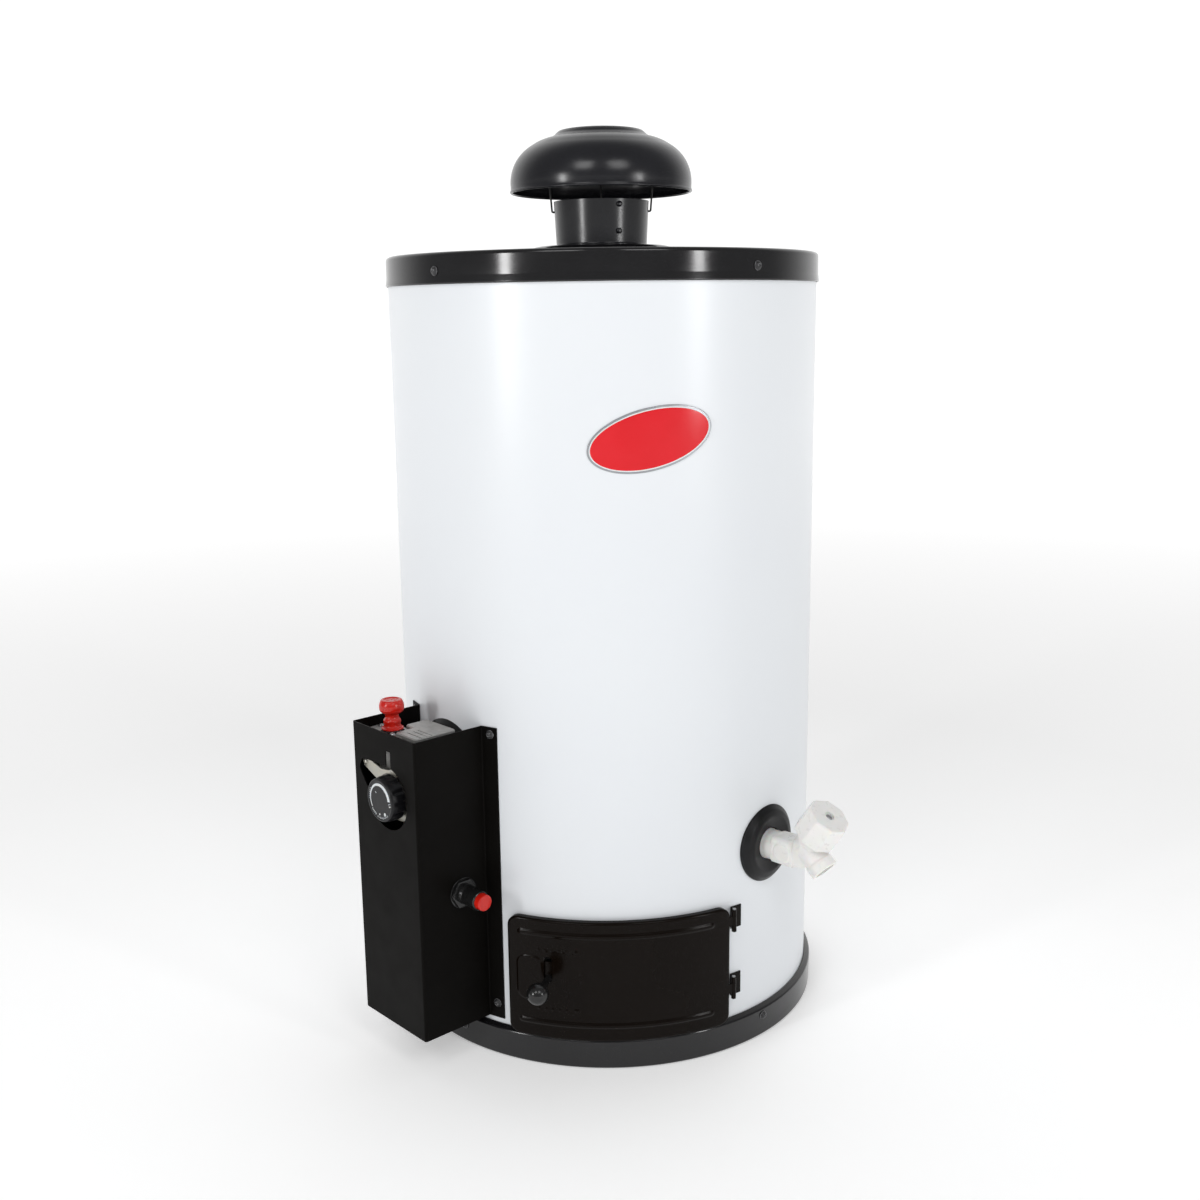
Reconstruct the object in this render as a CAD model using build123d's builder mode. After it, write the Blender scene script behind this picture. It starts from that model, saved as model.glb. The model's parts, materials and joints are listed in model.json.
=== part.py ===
from build123d import *
import os
from math import cos, radians, sin

# A gas storage water heater of about 38 litres. Millimetres, +Z up.
# The origin is the centre of the base, on the floor; the access door is on the -Y side.
# An azimuth is the angle about Z from the front, positive to the right as seen from the front.

# ---------------------------------------------------------------- driving dimensions
JACKET_R = 200.0
JACKET_SHEET = 0.8
JACKET_BOTTOM = 1.2
JACKET_TOP = 712.0

PAN_R = 205.5
PAN_SHEET = 1.0
PAN_HEIGHT = 29.1
PAN_FLOOR_Z = 8.0
PAN_AIR_HOLE_R = 60.0

COVER_R = 201.5
COVER_SHEET = 0.9
COVER_SKIRT_Z = 692.5
COVER_TOP_Z = 719.0
COVER_CENTRE_Z = 728.0
COVER_HOLE_R = 40.5

TANK_R = 165.0
TANK_WALL = 2.3
TANK_BOTTOM = 160.0
TANK_TOP = 640.0
HEAD_WALL = 2.5
HEAD_SKIRT = 14.0
HEAD_RISE = 44.0
FLUE_R = 38.5
FLUE_WALL = 2.0
FLUE_BOTTOM = 202.0
FLUE_TOP = 742.0

COLLAR_BOTTOM_R = 42.3
COLLAR_TOP_R = 44.3
COLLAR_TOP_Z = 768.5
COLLAR_FLANGE_R = 47.5
COLLAR_SHEET = 0.8
LAP_START = 13.5
LAP_ARC = 13.5
RIVET_AZIMUTH = 21.7
UPPER_RIVET_Z = 763.5
LOWER_RIVET_Z = 740.0
WIRE_HOLE_Z = 759.5
HOOD_RIM_R = 84.0
HOOD_RIM_Z = 776.0
HOOD_SHEET = 1.0
HOOD_DISC_R = 46.0
HOOD_TOP_Z = 834.0
WIRE_R = 0.9

PIPE_R = 13.3
SPUD_R = 17.0
BOX_AZIMUTH = -47.2
BOX_WIDTH = 95.0
BOX_FRONT = 268.0
BOX_BOTTOM = 34.0
BOX_TOP = 312.0
BOX_SHEET = 1.0
FLANGE_ARC = 4.8
FLANGE_MIDDLE = 15.85

VALVE_Z = 270.0
DIAL_SIDE = 4.0
DIAL_Z = 252.0
DIAL_R = 20.5
DIAL_BACK = 262.0
DIAL_FRONT = 276.5
DIAL_SHAFT_R = 3.0
KNOB_SIDE = -21.0
KNOB_OUT = 243.0
RUNNING_FIT = 0.05
PIEZO_OUT = 222.0
PIEZO_Z = 163.0
PIEZO_R = 9.0
PIEZO_BUTTON_R = 7.35

DRAIN_AZIMUTH = 46.8
DRAIN_Z = 187.5
DRAIN_PIVOT_OUT = 238.0
DRAIN_HANDLE_TILT = 55.0
DRAIN_OUTLET_TILT = -43.0
DRAIN_BODY_R = 13.0

HOT_AZIMUTH = 160.0
HOT_Z = 600.0
COLD_AZIMUTH = 200.0
COLD_Z = 215.0

DOOR_LEFT = -26.5
DOOR_RIGHT = 31.9
DOOR_BOTTOM = 27.0
DOOR_TOP = 141.5
DOOR_R = 207.3
DOOR_SHEET = 1.0
DOOR_CORNER = 10.0
HINGE_AZIMUTH = 33.1
HINGE_R = 206.6
HINGE_PIN_R = 1.0
LATCH_AZIMUTH = -15.0
LATCH_Z = 86.0
LATCH_TRAVEL = 17.0
LATCH_STEM_R = 3.2
LATCH_BALL_R = 9.8
LATCH_BALL_OUT = 237.0

BADGE_AZIMUTH = 11.2
BADGE_Z = 565.0
BADGE_TILT = 13.0

SCREW_HEAD_R = 4.0
SCREW_SHANK_R = 1.7
SCREW_LENGTH = 6.5

os.makedirs("parts", exist_ok=True)


# ---------------------------------------------------------------- placing planes
def around(azimuth):
    """Axes of something on the jacket: X to its right, -Y outward, Z up."""
    return Plane.XY.rotated((0, 0, azimuth))


def facing_out(frame, out, side=0.0, z=0.0):
    """Sketch plane whose normal points away from the tank: X to the right, Y up."""
    return Plane(frame.location * Location((side, -out, z)) * Plane.XZ.location)


def facing_up(frame, z, out=0.0, side=0.0):
    """Sketch plane whose normal points up: X to the right, Y towards the tank's centre."""
    return Plane(frame.location * Location((side, -out, z)))


def facing_right(frame, side, out=0.0, z=0.0):
    """Sketch plane whose normal points to the right: X towards the tank's centre, Y up."""
    return Plane(frame.location * Location((side, -out, z)) * Plane.YZ.location)


def section(frame, side=0.0, out=0.0, z=0.0):
    """Upright radial sketch plane: X outward, Y up."""
    origin = frame.from_local_coords(Vector(side, -out, z))
    return Plane(origin=origin, x_dir=-frame.y_dir, z_dir=-frame.x_dir)


def tilted(frame, out, z, tilt):
    """Sketch plane whose normal leans up from outward by the tilt, through a point in the section."""
    lean = Vector(0, -cos(radians(tilt)), sin(radians(tilt)))
    normal = frame.from_local_coords(lean) - frame.origin
    return Plane(origin=frame.from_local_coords(Vector(0, -out, z)), x_dir=frame.x_dir, z_dir=normal)


def radial_axis(frame, side=0.0, z=0.0):
    """Axis that points straight outward through a point on the jacket."""
    return Axis(frame.from_local_coords(Vector(side, 0, z)), -frame.y_dir)


BOX = around(BOX_AZIMUTH)
DRAIN = around(DRAIN_AZIMUTH)
HOT = around(HOT_AZIMUTH)
COLD = around(COLD_AZIMUTH)
LATCH = around(LATCH_AZIMUTH)
DOOR_MIDDLE = (DOOR_LEFT + DOOR_RIGHT) / 2
DOOR = around(DOOR_MIDDLE)
BADGE = around(BADGE_AZIMUTH)

PORTS = [(BOX, 2.0, VALVE_Z), (DRAIN, 0.0, DRAIN_Z), (HOT, 0.0, HOT_Z), (COLD, 0.0, COLD_Z)]
WIRE_AZIMUTHS = [-90.0, 90.0, 180.0]
COVER_SCREWS = [(-44.3, 703.5), (40.0, 704.5), (136.0, 704.0), (-136.0, 704.0)]
PAN_SCREWS = [(-41.4, 17.5), (44.0, 20.0), (136.0, 19.0), (-136.0, 19.0)]
BOX_SCREWS = [(BOX_AZIMUTH + side * 16.3, z) for side in (-1, 1) for z in (48.5, 305.5)]


# ---------------------------------------------------------------- fasteners used in many places
with BuildPart() as pan_screw:
    with BuildSketch(Plane.XZ):
        with BuildLine():
            Polyline(
                (0, -SCREW_LENGTH),
                (SCREW_SHANK_R, -SCREW_LENGTH),
                (SCREW_SHANK_R, 0),
                (SCREW_HEAD_R, 0),
                (SCREW_HEAD_R, 0.8),
            )
            ThreePointArc((SCREW_HEAD_R, 0.8), (2.6, 2.1), (0, 2.6))
            Line((0, 2.6), (0, -SCREW_LENGTH))
        make_face()
    revolve(axis=Axis.Z)
    with BuildSketch(Plane.XY.offset(1.2)):
        Rectangle(4.2, 0.9)
        Rectangle(0.9, 4.2)
    extrude(amount=3, mode=Mode.SUBTRACT)

with BuildPart() as round_head:
    Cylinder(2.7, 1.9, align=(Align.CENTER, Align.CENTER, Align.MIN))
    fillet(round_head.edges().sort_by(Axis.Z)[-1], 1.3)

with BuildPart() as rivet:
    Cylinder(2.6, 1.3, align=(Align.CENTER, Align.CENTER, Align.MIN))
    fillet(rivet.edges().sort_by(Axis.Z)[-1], 0.9)
    Cylinder(1.5, 2.2, align=(Align.CENTER, Align.CENTER, Align.MAX))


def seats(radius, places):
    """Outward planes on a round surface, one for each azimuth and height."""
    return [facing_out(around(azimuth), radius, z=z) for azimuth, z in places]


# ---------------------------------------------------------------- base pan, jacket and lid
with BuildPart() as base_pan:
    with BuildSketch(Plane.XZ):
        with BuildLine():
            FilletPolyline(
                (PAN_AIR_HOLE_R, PAN_FLOOR_Z),
                (186, PAN_FLOOR_Z),
                (190, 0),
                (PAN_R, 0),
                (PAN_R + 0.4, PAN_HEIGHT - 2.5),
                (JACKET_R + 0.6, PAN_HEIGHT),
                radius=1.6,
            )
            offset(amount=PAN_SHEET, side=Side.LEFT)
        make_face()
    revolve(axis=Axis.Z)
    with Locations(*seats(PAN_R + 5, [(azimuth, 16.0) for azimuth in range(120, 241, 20)])):
        Box(26, 9, 26, mode=Mode.SUBTRACT)
    with Locations(*seats(PAN_R, PAN_SCREWS)):
        Cylinder(SCREW_SHANK_R + 0.2, 8, mode=Mode.SUBTRACT)

with BuildPart() as jacket:
    with BuildSketch(Plane.XY.offset(JACKET_BOTTOM)):
        Circle(JACKET_R)
        Circle(JACKET_R - JACKET_SHEET, mode=Mode.SUBTRACT)
    extrude(amount=JACKET_TOP - JACKET_BOTTOM)
    with BuildSketch(facing_out(DOOR, 150, z=84)):
        RectangleRounded(162, 100, 8)
    extrude(amount=60, mode=Mode.SUBTRACT)
    with BuildSketch(facing_out(BOX, 150, z=82)):
        RectangleRounded(60, 96, 6)
    extrude(amount=60, mode=Mode.SUBTRACT)
    for frame, side, z in PORTS:
        with BuildSketch(facing_out(frame, 150, side=side, z=z)):
            Circle(SPUD_R + 1.5)
        extrude(amount=60, mode=Mode.SUBTRACT)
    with Locations(*seats(JACKET_R, COVER_SCREWS + PAN_SCREWS + BOX_SCREWS)):
        Cylinder(SCREW_SHANK_R + 0.2, 8, mode=Mode.SUBTRACT)
    # Folded lock seam up the back.
    with BuildSketch(Plane.XY.offset(PAN_HEIGHT + 1)):
        with Locations((0, JACKET_R + 0.3)):
            Rectangle(12, 1.6)
    extrude(amount=COVER_SKIRT_Z - PAN_HEIGHT - 2)

with BuildPart() as top_cover:
    with BuildSketch(Plane.XZ):
        with BuildLine():
            FilletPolyline(
                (COVER_HOLE_R, COVER_CENTRE_Z),
                (62, COVER_CENTRE_Z),
                (78, COVER_TOP_Z),
                (COVER_R - 0.2, COVER_TOP_Z),
                (COVER_R, COVER_SKIRT_Z + 6.5),
                (COVER_R + 0.9, COVER_SKIRT_Z),
                radius=3.5,
            )
            offset(amount=COVER_SHEET, side=Side.RIGHT)
        make_face()
    revolve(axis=Axis.Z)
    with Locations(*seats(COVER_R, COVER_SCREWS)):
        Cylinder(SCREW_SHANK_R + 0.2, 8, mode=Mode.SUBTRACT)

with BuildPart() as base_pan_screws:
    with Locations(*seats(PAN_R + 0.4, PAN_SCREWS)):
        add(pan_screw.part)

with BuildPart() as top_cover_screws:
    with Locations(*seats(COVER_R + 0.1, COVER_SCREWS)):
        add(pan_screw.part)

# ---------------------------------------------------------------- flue collar and draft hood
with BuildPart() as flue_collar:
    with BuildSketch(Plane.XZ):
        with BuildLine():
            Polyline(
                (COLLAR_FLANGE_R, COVER_CENTRE_Z + COLLAR_SHEET),
                (COLLAR_BOTTOM_R, COVER_CENTRE_Z + COLLAR_SHEET),
                (COLLAR_TOP_R, COLLAR_TOP_Z),
            )
            offset(amount=COLLAR_SHEET, side=Side.LEFT)
        make_face()
    revolve(axis=Axis.Z)
    # The sheet's end laps over its start.
    with BuildSketch(section(around(LAP_START))):
        Polygon(
            (COLLAR_BOTTOM_R - 0.1, COVER_CENTRE_Z + 2),
            (COLLAR_BOTTOM_R + 1.1, COVER_CENTRE_Z + 2),
            (COLLAR_TOP_R + 1.0, COLLAR_TOP_Z - 0.5),
            (COLLAR_TOP_R - 0.2, COLLAR_TOP_Z - 0.5),
            align=None,
        )
    revolve(axis=Axis.Z, revolution_arc=LAP_ARC)
    with Locations(*seats(COLLAR_TOP_R, [(azimuth, WIRE_HOLE_Z) for azimuth in WIRE_AZIMUTHS])):
        Cylinder(WIRE_R + 0.2, 6, mode=Mode.SUBTRACT)
    with Locations(*seats(COLLAR_TOP_R, [(RIVET_AZIMUTH, UPPER_RIVET_Z), (RIVET_AZIMUTH, LOWER_RIVET_Z)])):
        Cylinder(1.6, 8, mode=Mode.SUBTRACT)

with BuildPart() as collar_rivets:
    upper_seat = seats(COLLAR_TOP_R + 0.9, [(RIVET_AZIMUTH, UPPER_RIVET_Z)])
    lower_seat = seats(COLLAR_TOP_R - 0.3, [(RIVET_AZIMUTH, LOWER_RIVET_Z)])
    with Locations(*upper_seat, *lower_seat):
        add(rivet.part)


def dome_points(inset):
    """Corners and arc middles of the hood's half section; the inset moves them inside its sheet."""
    return {
        "rim": (HOOD_RIM_R - inset, HOOD_RIM_Z),
        "waist": (HOOD_RIM_R - inset, 781),
        "bulge": (79.6 - 0.92 * inset, 803 - 0.4 * inset),
        "shoulder": (65 - 0.65 * inset, 817.8 - 0.76 * inset),
        "hollow": (57 - 0.5 * inset, 822.4 - 0.85 * inset),
        "disc_foot": (HOOD_DISC_R - 0.4 * inset, 825.6 - 0.9 * inset),
        "disc_edge": (38 - 0.5 * inset, 831 - 0.9 * inset),
        "crown": (0, HOOD_TOP_Z - inset),
    }


outside = dome_points(0)
underside = dome_points(HOOD_SHEET)
with BuildPart() as hood_cap:
    with BuildSketch(Plane.XZ):
        with BuildLine():
            for at in (outside, underside):
                Line(at["rim"], at["waist"])
                ThreePointArc(at["waist"], at["bulge"], at["shoulder"])
                ThreePointArc(at["shoulder"], at["hollow"], at["disc_foot"])
                Line(at["disc_foot"], at["disc_edge"])
                TangentArc(at["crown"], at["disc_edge"], tangent=(1, 0))
            Line(outside["crown"], underside["crown"])
            Line(outside["rim"], underside["rim"])
        make_face()
        # Rolled rim.
        with Locations((HOOD_RIM_R - 0.6, HOOD_RIM_Z + 1.3)):
            Circle(1.3)
    revolve(axis=Axis.Z)

with BuildPart() as hood_wires:
    for azimuth in WIRE_AZIMUTHS:
        with BuildLine(section(around(azimuth))) as leg:
            FilletPolyline(
                (51.5, 821.8),
                (47.2, 775),
                (46.0, WIRE_HOLE_Z),
                (41.6, WIRE_HOLE_Z),
                (41.6, WIRE_HOLE_Z + 6.5),
                radius=1.3,
            )
        with BuildSketch(Plane(origin=leg.line @ 0, z_dir=leg.line % 0)):
            Circle(WIRE_R)
        sweep(path=leg.line)

# ---------------------------------------------------------------- tank and flue
with BuildPart() as tank_shell:
    with BuildSketch(Plane.XY.offset(TANK_BOTTOM)):
        Circle(TANK_R)
        Circle(TANK_R - TANK_WALL, mode=Mode.SUBTRACT)
    extrude(amount=TANK_TOP - TANK_BOTTOM)
    for frame, side, z in PORTS:
        with BuildSketch(facing_out(frame, 100, side=side, z=z)):
            Circle(SPUD_R)
        extrude(amount=80, mode=Mode.SUBTRACT)


def pressed_head(skirt_z):
    """Domed head with a hole for the flue; it stands inside the shell on its skirt."""
    skirt_r = TANK_R - TANK_WALL - 0.1
    shoulder_z = skirt_z + HEAD_SKIRT
    crown_z = shoulder_z + HEAD_RISE
    mouth_r = FLUE_R + 0.2
    with BuildPart() as head:
        with BuildSketch(Plane.XZ):
            with BuildLine():
                Polyline(
                    (skirt_r - HEAD_WALL, shoulder_z),
                    (skirt_r - HEAD_WALL, skirt_z),
                    (skirt_r, skirt_z),
                    (skirt_r, shoulder_z),
                )
                ThreePointArc((skirt_r, shoulder_z), (120, shoulder_z + 25), (mouth_r, crown_z))
                Line((mouth_r, crown_z), (mouth_r, crown_z - HEAD_WALL))
                ThreePointArc(
                    (mouth_r, crown_z - HEAD_WALL),
                    (119, shoulder_z + 25 - HEAD_WALL),
                    (skirt_r - HEAD_WALL, shoulder_z),
                )
            make_face()
        revolve(axis=Axis.Z)
    return head


tank_bottom_head = pressed_head(TANK_BOTTOM)
ANODE_AT = (110, 0)
with BuildPart() as tank_top_head:
    add(pressed_head(TANK_TOP - HEAD_SKIRT).part)
    with Locations((*ANODE_AT, TANK_TOP)):
        Cylinder(PIPE_R + 0.3, 120, mode=Mode.SUBTRACT)

with BuildPart() as flue_tube:
    with BuildSketch(Plane.XY.offset(FLUE_BOTTOM)):
        Circle(FLUE_R)
        Circle(FLUE_R - FLUE_WALL, mode=Mode.SUBTRACT)
    extrude(amount=FLUE_TOP - FLUE_BOTTOM)

with BuildPart() as flue_baffle:
    folds = 16
    fold_height = (FLUE_TOP - 4 - FLUE_BOTTOM - 10) / folds
    zigzag = [(20 if i % 2 else -20, FLUE_BOTTOM + 10 + i * fold_height) for i in range(folds + 1)]
    with BuildSketch(Plane.XZ.offset(-24)):
        with BuildLine():
            Polyline(*zigzag)
            offset(amount=1.2, side=Side.LEFT)
        make_face()
    extrude(amount=48)
    with Locations((0, 0, FLUE_TOP - 3)):
        Box(44, 6, 6)
    with Locations((0, 0, FLUE_TOP + 0.7)):
        Box(78, 6, 1.4)

with BuildPart() as anode_rod:
    with BuildSketch(Plane.XY.offset(240)):
        with Locations(ANODE_AT):
            Circle(10.5)
    extrude(amount=432)
    with BuildSketch(Plane.XY.offset(650)):
        with Locations(ANODE_AT):
            Circle(PIPE_R)
    extrude(amount=26)
    with BuildSketch(Plane.XY.offset(676)):
        with Locations(ANODE_AT):
            RegularPolygon(radius=13.5, side_count=6, major_radius=False)
    extrude(amount=12)

with BuildPart() as tank_spuds:
    for frame, side, z in PORTS:
        with BuildSketch(facing_out(frame, TANK_R - TANK_WALL, side=side, z=z)):
            Circle(SPUD_R - 0.1)
            Circle(PIPE_R + 0.1, mode=Mode.SUBTRACT)
        extrude(amount=14)


NIPPLE_THREAD = 20.0
NIPPLE_CHAMFER = 0.9
NIPPLE_THREAD_OUT = 212.1


def rear_nipple(frame, z):
    """Pipe nipple screwed into a spud; its thicker, threaded outer end takes the house pipe."""
    with BuildPart() as nipple:
        with BuildSketch(facing_out(frame, TANK_R - 2, z=z)):
            Circle(PIPE_R - 0.5)
        extrude(amount=NIPPLE_THREAD_OUT - TANK_R + 2)
        with BuildSketch(facing_out(frame, NIPPLE_THREAD_OUT, z=z)):
            Circle(PIPE_R)
        extrude(amount=NIPPLE_THREAD + NIPPLE_CHAMFER)
        chamfer(nipple.edges().sort_by(radial_axis(frame))[-1], NIPPLE_CHAMFER)
        with BuildSketch(facing_out(frame, TANK_R - 4, z=z)):
            Circle(PIPE_R - 3.2)
        extrude(amount=80, mode=Mode.SUBTRACT)
    return nipple


hot_outlet_nipple = rear_nipple(HOT, HOT_Z)
cold_inlet_nipple = rear_nipple(COLD, COLD_Z)

with BuildPart() as insulation:
    with BuildSketch(Plane.XY.offset(TANK_BOTTOM - 8)):
        Circle(JACKET_R - SCREW_LENGTH + 0.8)
        Circle(TANK_R + 0.4, mode=Mode.SUBTRACT)
    extrude(amount=TANK_TOP + 45 - TANK_BOTTOM)
    for frame, side, z in PORTS:
        with BuildSketch(facing_out(frame, 140, side=side, z=z)):
            Circle(SPUD_R + 2)
        extrude(amount=80, mode=Mode.SUBTRACT)
    with BuildSketch(Plane.XY.offset(692)):
        Circle(JACKET_R - SCREW_LENGTH)
        Circle(46, mode=Mode.SUBTRACT)
    extrude(amount=20)


# ---------------------------------------------------------------- escutcheons on the jacket
def escutcheon(frame, side, z, outer_r, inner_r):
    """Dished disc round a pipe, its rim cut to the jacket's curve."""
    with BuildPart() as disc:
        with BuildSketch(section(frame, side=side, z=z)):
            with BuildLine():
                Polyline((JACKET_R - 8, outer_r - 1.4), (JACKET_R - 8, outer_r), (JACKET_R + 0.6, outer_r))
                ThreePointArc(
                    (JACKET_R + 0.6, outer_r),
                    (JACKET_R + 4.4, outer_r - 4.5),
                    (JACKET_R + 6, outer_r - 10),
                )
                Polyline(
                    (JACKET_R + 6, outer_r - 10),
                    (JACKET_R + 3.5, inner_r),
                    (JACKET_R + 1.9, inner_r),
                    (JACKET_R + 4.4, outer_r - 10),
                    (JACKET_R - 8, outer_r - 1.4),
                )
            make_face()
        revolve(axis=radial_axis(frame, side=side, z=z))
        with BuildSketch(Plane.XY.offset(z - 60)):
            Circle(JACKET_R + 0.15)
        extrude(amount=120, mode=Mode.SUBTRACT)
    return disc


drain_escutcheon = escutcheon(DRAIN, 0, DRAIN_Z, 36.2, DRAIN_BODY_R + 1.2)
with BuildPart() as pipe_escutcheons:
    add(escutcheon(BOX, 2.0, VALVE_Z, 39.5, PIPE_R + 1).part)
    add(escutcheon(HOT, 0, HOT_Z, 30, PIPE_R + 0.6).part)
    add(escutcheon(COLD, 0, COLD_Z, 30, PIPE_R + 0.6).part)

# ---------------------------------------------------------------- folded control box
BOX_HALF = BOX_WIDTH / 2
BOX_FOOT_R = JACKET_R + 0.2
with BuildPart() as control_box:
    with BuildSketch(facing_up(BOX, BOX_BOTTOM)):
        with BuildLine():
            FilletPolyline(
                (-BOX_HALF, -150),
                (-BOX_HALF, -BOX_FRONT),
                (BOX_HALF, -BOX_FRONT),
                (BOX_HALF, -150),
                radius=2.2,
            )
            Line((BOX_HALF, -150), (-BOX_HALF, -150))
        make_face()
        with BuildLine():
            FilletPolyline(
                (-BOX_HALF + BOX_SHEET, -140),
                (-BOX_HALF + BOX_SHEET, -BOX_FRONT + BOX_SHEET),
                (BOX_HALF - BOX_SHEET, -BOX_FRONT + BOX_SHEET),
                (BOX_HALF - BOX_SHEET, -140),
                radius=1.2,
            )
            Line((BOX_HALF - BOX_SHEET, -140), (-BOX_HALF + BOX_SHEET, -140))
        make_face(mode=Mode.SUBTRACT)
        # Flanges that lie on the jacket on both sides.
        for middle in (-90 - FLANGE_MIDDLE, -90 + FLANGE_MIDDLE):
            with BuildLine():
                inner_arc = CenterArc((0, 0), BOX_FOOT_R, middle - FLANGE_ARC / 2, FLANGE_ARC)
                outer_arc = CenterArc((0, 0), BOX_FOOT_R + BOX_SHEET, middle - FLANGE_ARC / 2, FLANGE_ARC)
                Line(inner_arc @ 0, outer_arc @ 0)
                Line(inner_arc @ 1, outer_arc @ 1)
            make_face()
        Circle(BOX_FOOT_R, mode=Mode.SUBTRACT)
    extrude(amount=BOX_TOP - BOX_BOTTOM)
    # Cut-out for the dial, with its arm to the upper left and a notch above.
    with BuildSketch(facing_out(BOX, BOX_FRONT - 4)):
        with Locations((DIAL_SIDE, DIAL_Z)):
            Circle(29)
        Polygon((-27, 256), (-40, 272), (-34, 280), (4, 281.5), (14, 262), align=None)
        with Locations((7, 288)):
            Rectangle(7.2, 15)
    extrude(amount=8, mode=Mode.SUBTRACT)
    with BuildSketch(facing_right(BOX, BOX_HALF - 4, out=PIEZO_OUT, z=PIEZO_Z)):
        Circle(PIEZO_R + 0.3)
    extrude(amount=8, mode=Mode.SUBTRACT)
    with Locations(*seats(JACKET_R, BOX_SCREWS)):
        Cylinder(SCREW_SHANK_R + 0.2, 8, mode=Mode.SUBTRACT)

with BuildPart() as control_box_screws:
    with Locations(*seats(JACKET_R + 0.25 + BOX_SHEET, BOX_SCREWS)):
        add(pan_screw.part)

# ---------------------------------------------------------------- gas control
CASTING_TOP = 306.0
CASTING_BOTTOM = 228.0
CASTING_FRONT = 250.0
CASTING_BACK = 206.0
KNOB_PLATE_Z = 303.0
CUP_BOTTOM = 292.5
CUP_R = 10.8
OUTLET_AT = (0.0, 216.0)
INLET_AT = (13.0, 238.0)
PILOT_PORT_AT = (-16.0, 220.0)
COUPLE_PORT_AT = (-15.0, 238.0)


def beneath(ports, z):
    """Upward planes under the casting, one for each side and outward distance."""
    return [facing_up(BOX, z, out=out, side=side) for side, out in ports]


with BuildPart() as control_body:
    with BuildSketch(facing_up(BOX, CASTING_BOTTOM)):
        Polygon(
            (-20, -CASTING_BACK),
            (24, -CASTING_BACK),
            (24, -CASTING_FRONT),
            (-7, -CASTING_FRONT),
            (-7, -230),
            (-20, -230),
            align=None,
        )
    extrude(amount=CASTING_TOP - CASTING_BOTTOM)
    fillet(control_body.edges().filter_by(Axis.Z), 2.5)
    chamfer(control_body.faces().sort_by(Axis.Z)[-1].edges(), 1.0)
    with BuildSketch(facing_up(BOX, CASTING_BOTTOM)):
        Polygon((-20, -212), (0, -212), (0, -CASTING_FRONT + 2), (-20, -CASTING_FRONT + 2), align=None)
    extrude(amount=KNOB_PLATE_Z - CASTING_BOTTOM - 3)
    # Boss under the pilot knob, its ear and its cup.
    with BuildSketch(facing_up(BOX, 262, out=KNOB_OUT, side=KNOB_SIDE)):
        Circle(13)
    extrude(amount=KNOB_PLATE_Z - 262)
    with BuildSketch(facing_up(BOX, KNOB_PLATE_Z - 3, out=KNOB_OUT, side=KNOB_SIDE)):
        RectangleRounded(49, 23, 4)
    extrude(amount=3)
    with BuildSketch(facing_up(BOX, CUP_BOTTOM, out=KNOB_OUT, side=KNOB_SIDE)):
        Circle(CUP_R)
    extrude(amount=30, mode=Mode.SUBTRACT)
    with BuildSketch(facing_up(BOX, 266, out=KNOB_OUT, side=KNOB_SIDE)):
        Circle(3 + RUNNING_FIT)
    extrude(amount=40, mode=Mode.SUBTRACT)
    # Thermostat boss with the bore of the dial shaft.
    with BuildSketch(facing_out(BOX, CASTING_FRONT - 4, side=DIAL_SIDE, z=DIAL_Z)):
        Circle(19)
    extrude(amount=10)
    with BuildSketch(facing_out(BOX, 236, side=DIAL_SIDE, z=DIAL_Z)):
        Circle(DIAL_SHAFT_R + RUNNING_FIT)
    extrude(amount=40, mode=Mode.SUBTRACT)
    # Grooves across the top face near its front edge.
    for out in (232, 237, 243):
        with BuildSketch(facing_up(BOX, CASTING_TOP - 0.8, out=out, side=14)):
            Rectangle(24, 1.4)
        extrude(amount=3, mode=Mode.SUBTRACT)
    # Ports underneath.
    with Locations(*beneath([OUTLET_AT], CASTING_BOTTOM - 4), *beneath([INLET_AT], CASTING_BOTTOM - 4)):
        Cylinder(10, 10)
    for port, bore in ((OUTLET_AT, 5.3), (INLET_AT, 8.1), (PILOT_PORT_AT, 3.6), (COUPLE_PORT_AT, 3.6)):
        with Locations(*beneath([port], CASTING_BOTTOM - 4)):
            Cylinder(bore, 26, mode=Mode.SUBTRACT)

with BuildPart() as control_shank:
    with BuildSketch(facing_out(BOX, TANK_R - 3, side=2, z=VALVE_Z)):
        Circle(PIPE_R)
        Circle(4.6, mode=Mode.SUBTRACT)
    extrude(amount=CASTING_BACK - TANK_R + 3)

with BuildPart() as thermostat_probe:
    with BuildSketch(facing_out(BOX, 60, side=2, z=VALVE_Z)):
        Circle(4.5)
    extrude(amount=CASTING_BACK - 60)
    fillet(thermostat_probe.edges().sort_by(radial_axis(BOX, z=VALVE_Z))[0], 3)

BRACKET_EAR = (-30.5, 275.5)
with BuildPart() as dial_bracket:
    with BuildSketch(facing_out(BOX, CASTING_FRONT + 6)):
        with Locations((DIAL_SIDE, DIAL_Z)):
            Circle(24)
        with Locations(BRACKET_EAR):
            Circle(5.5)
        make_hull()
        with Locations((DIAL_SIDE, DIAL_Z)):
            Circle(9, mode=Mode.SUBTRACT)
        with Locations(BRACKET_EAR):
            Circle(2, mode=Mode.SUBTRACT)
        with Locations((10, DIAL_Z + 30)):
            Rectangle(3, 14)
    extrude(amount=1.5)

with BuildPart() as control_screws:
    with Locations(
        facing_up(BOX, KNOB_PLATE_Z, out=242, side=-40.5),
        facing_up(BOX, KNOB_PLATE_Z, out=250.5, side=-10.2),
        facing_out(BOX, CASTING_FRONT + 7.5, side=BRACKET_EAR[0], z=BRACKET_EAR[1]),
    ):
        add(round_head.part)

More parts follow.
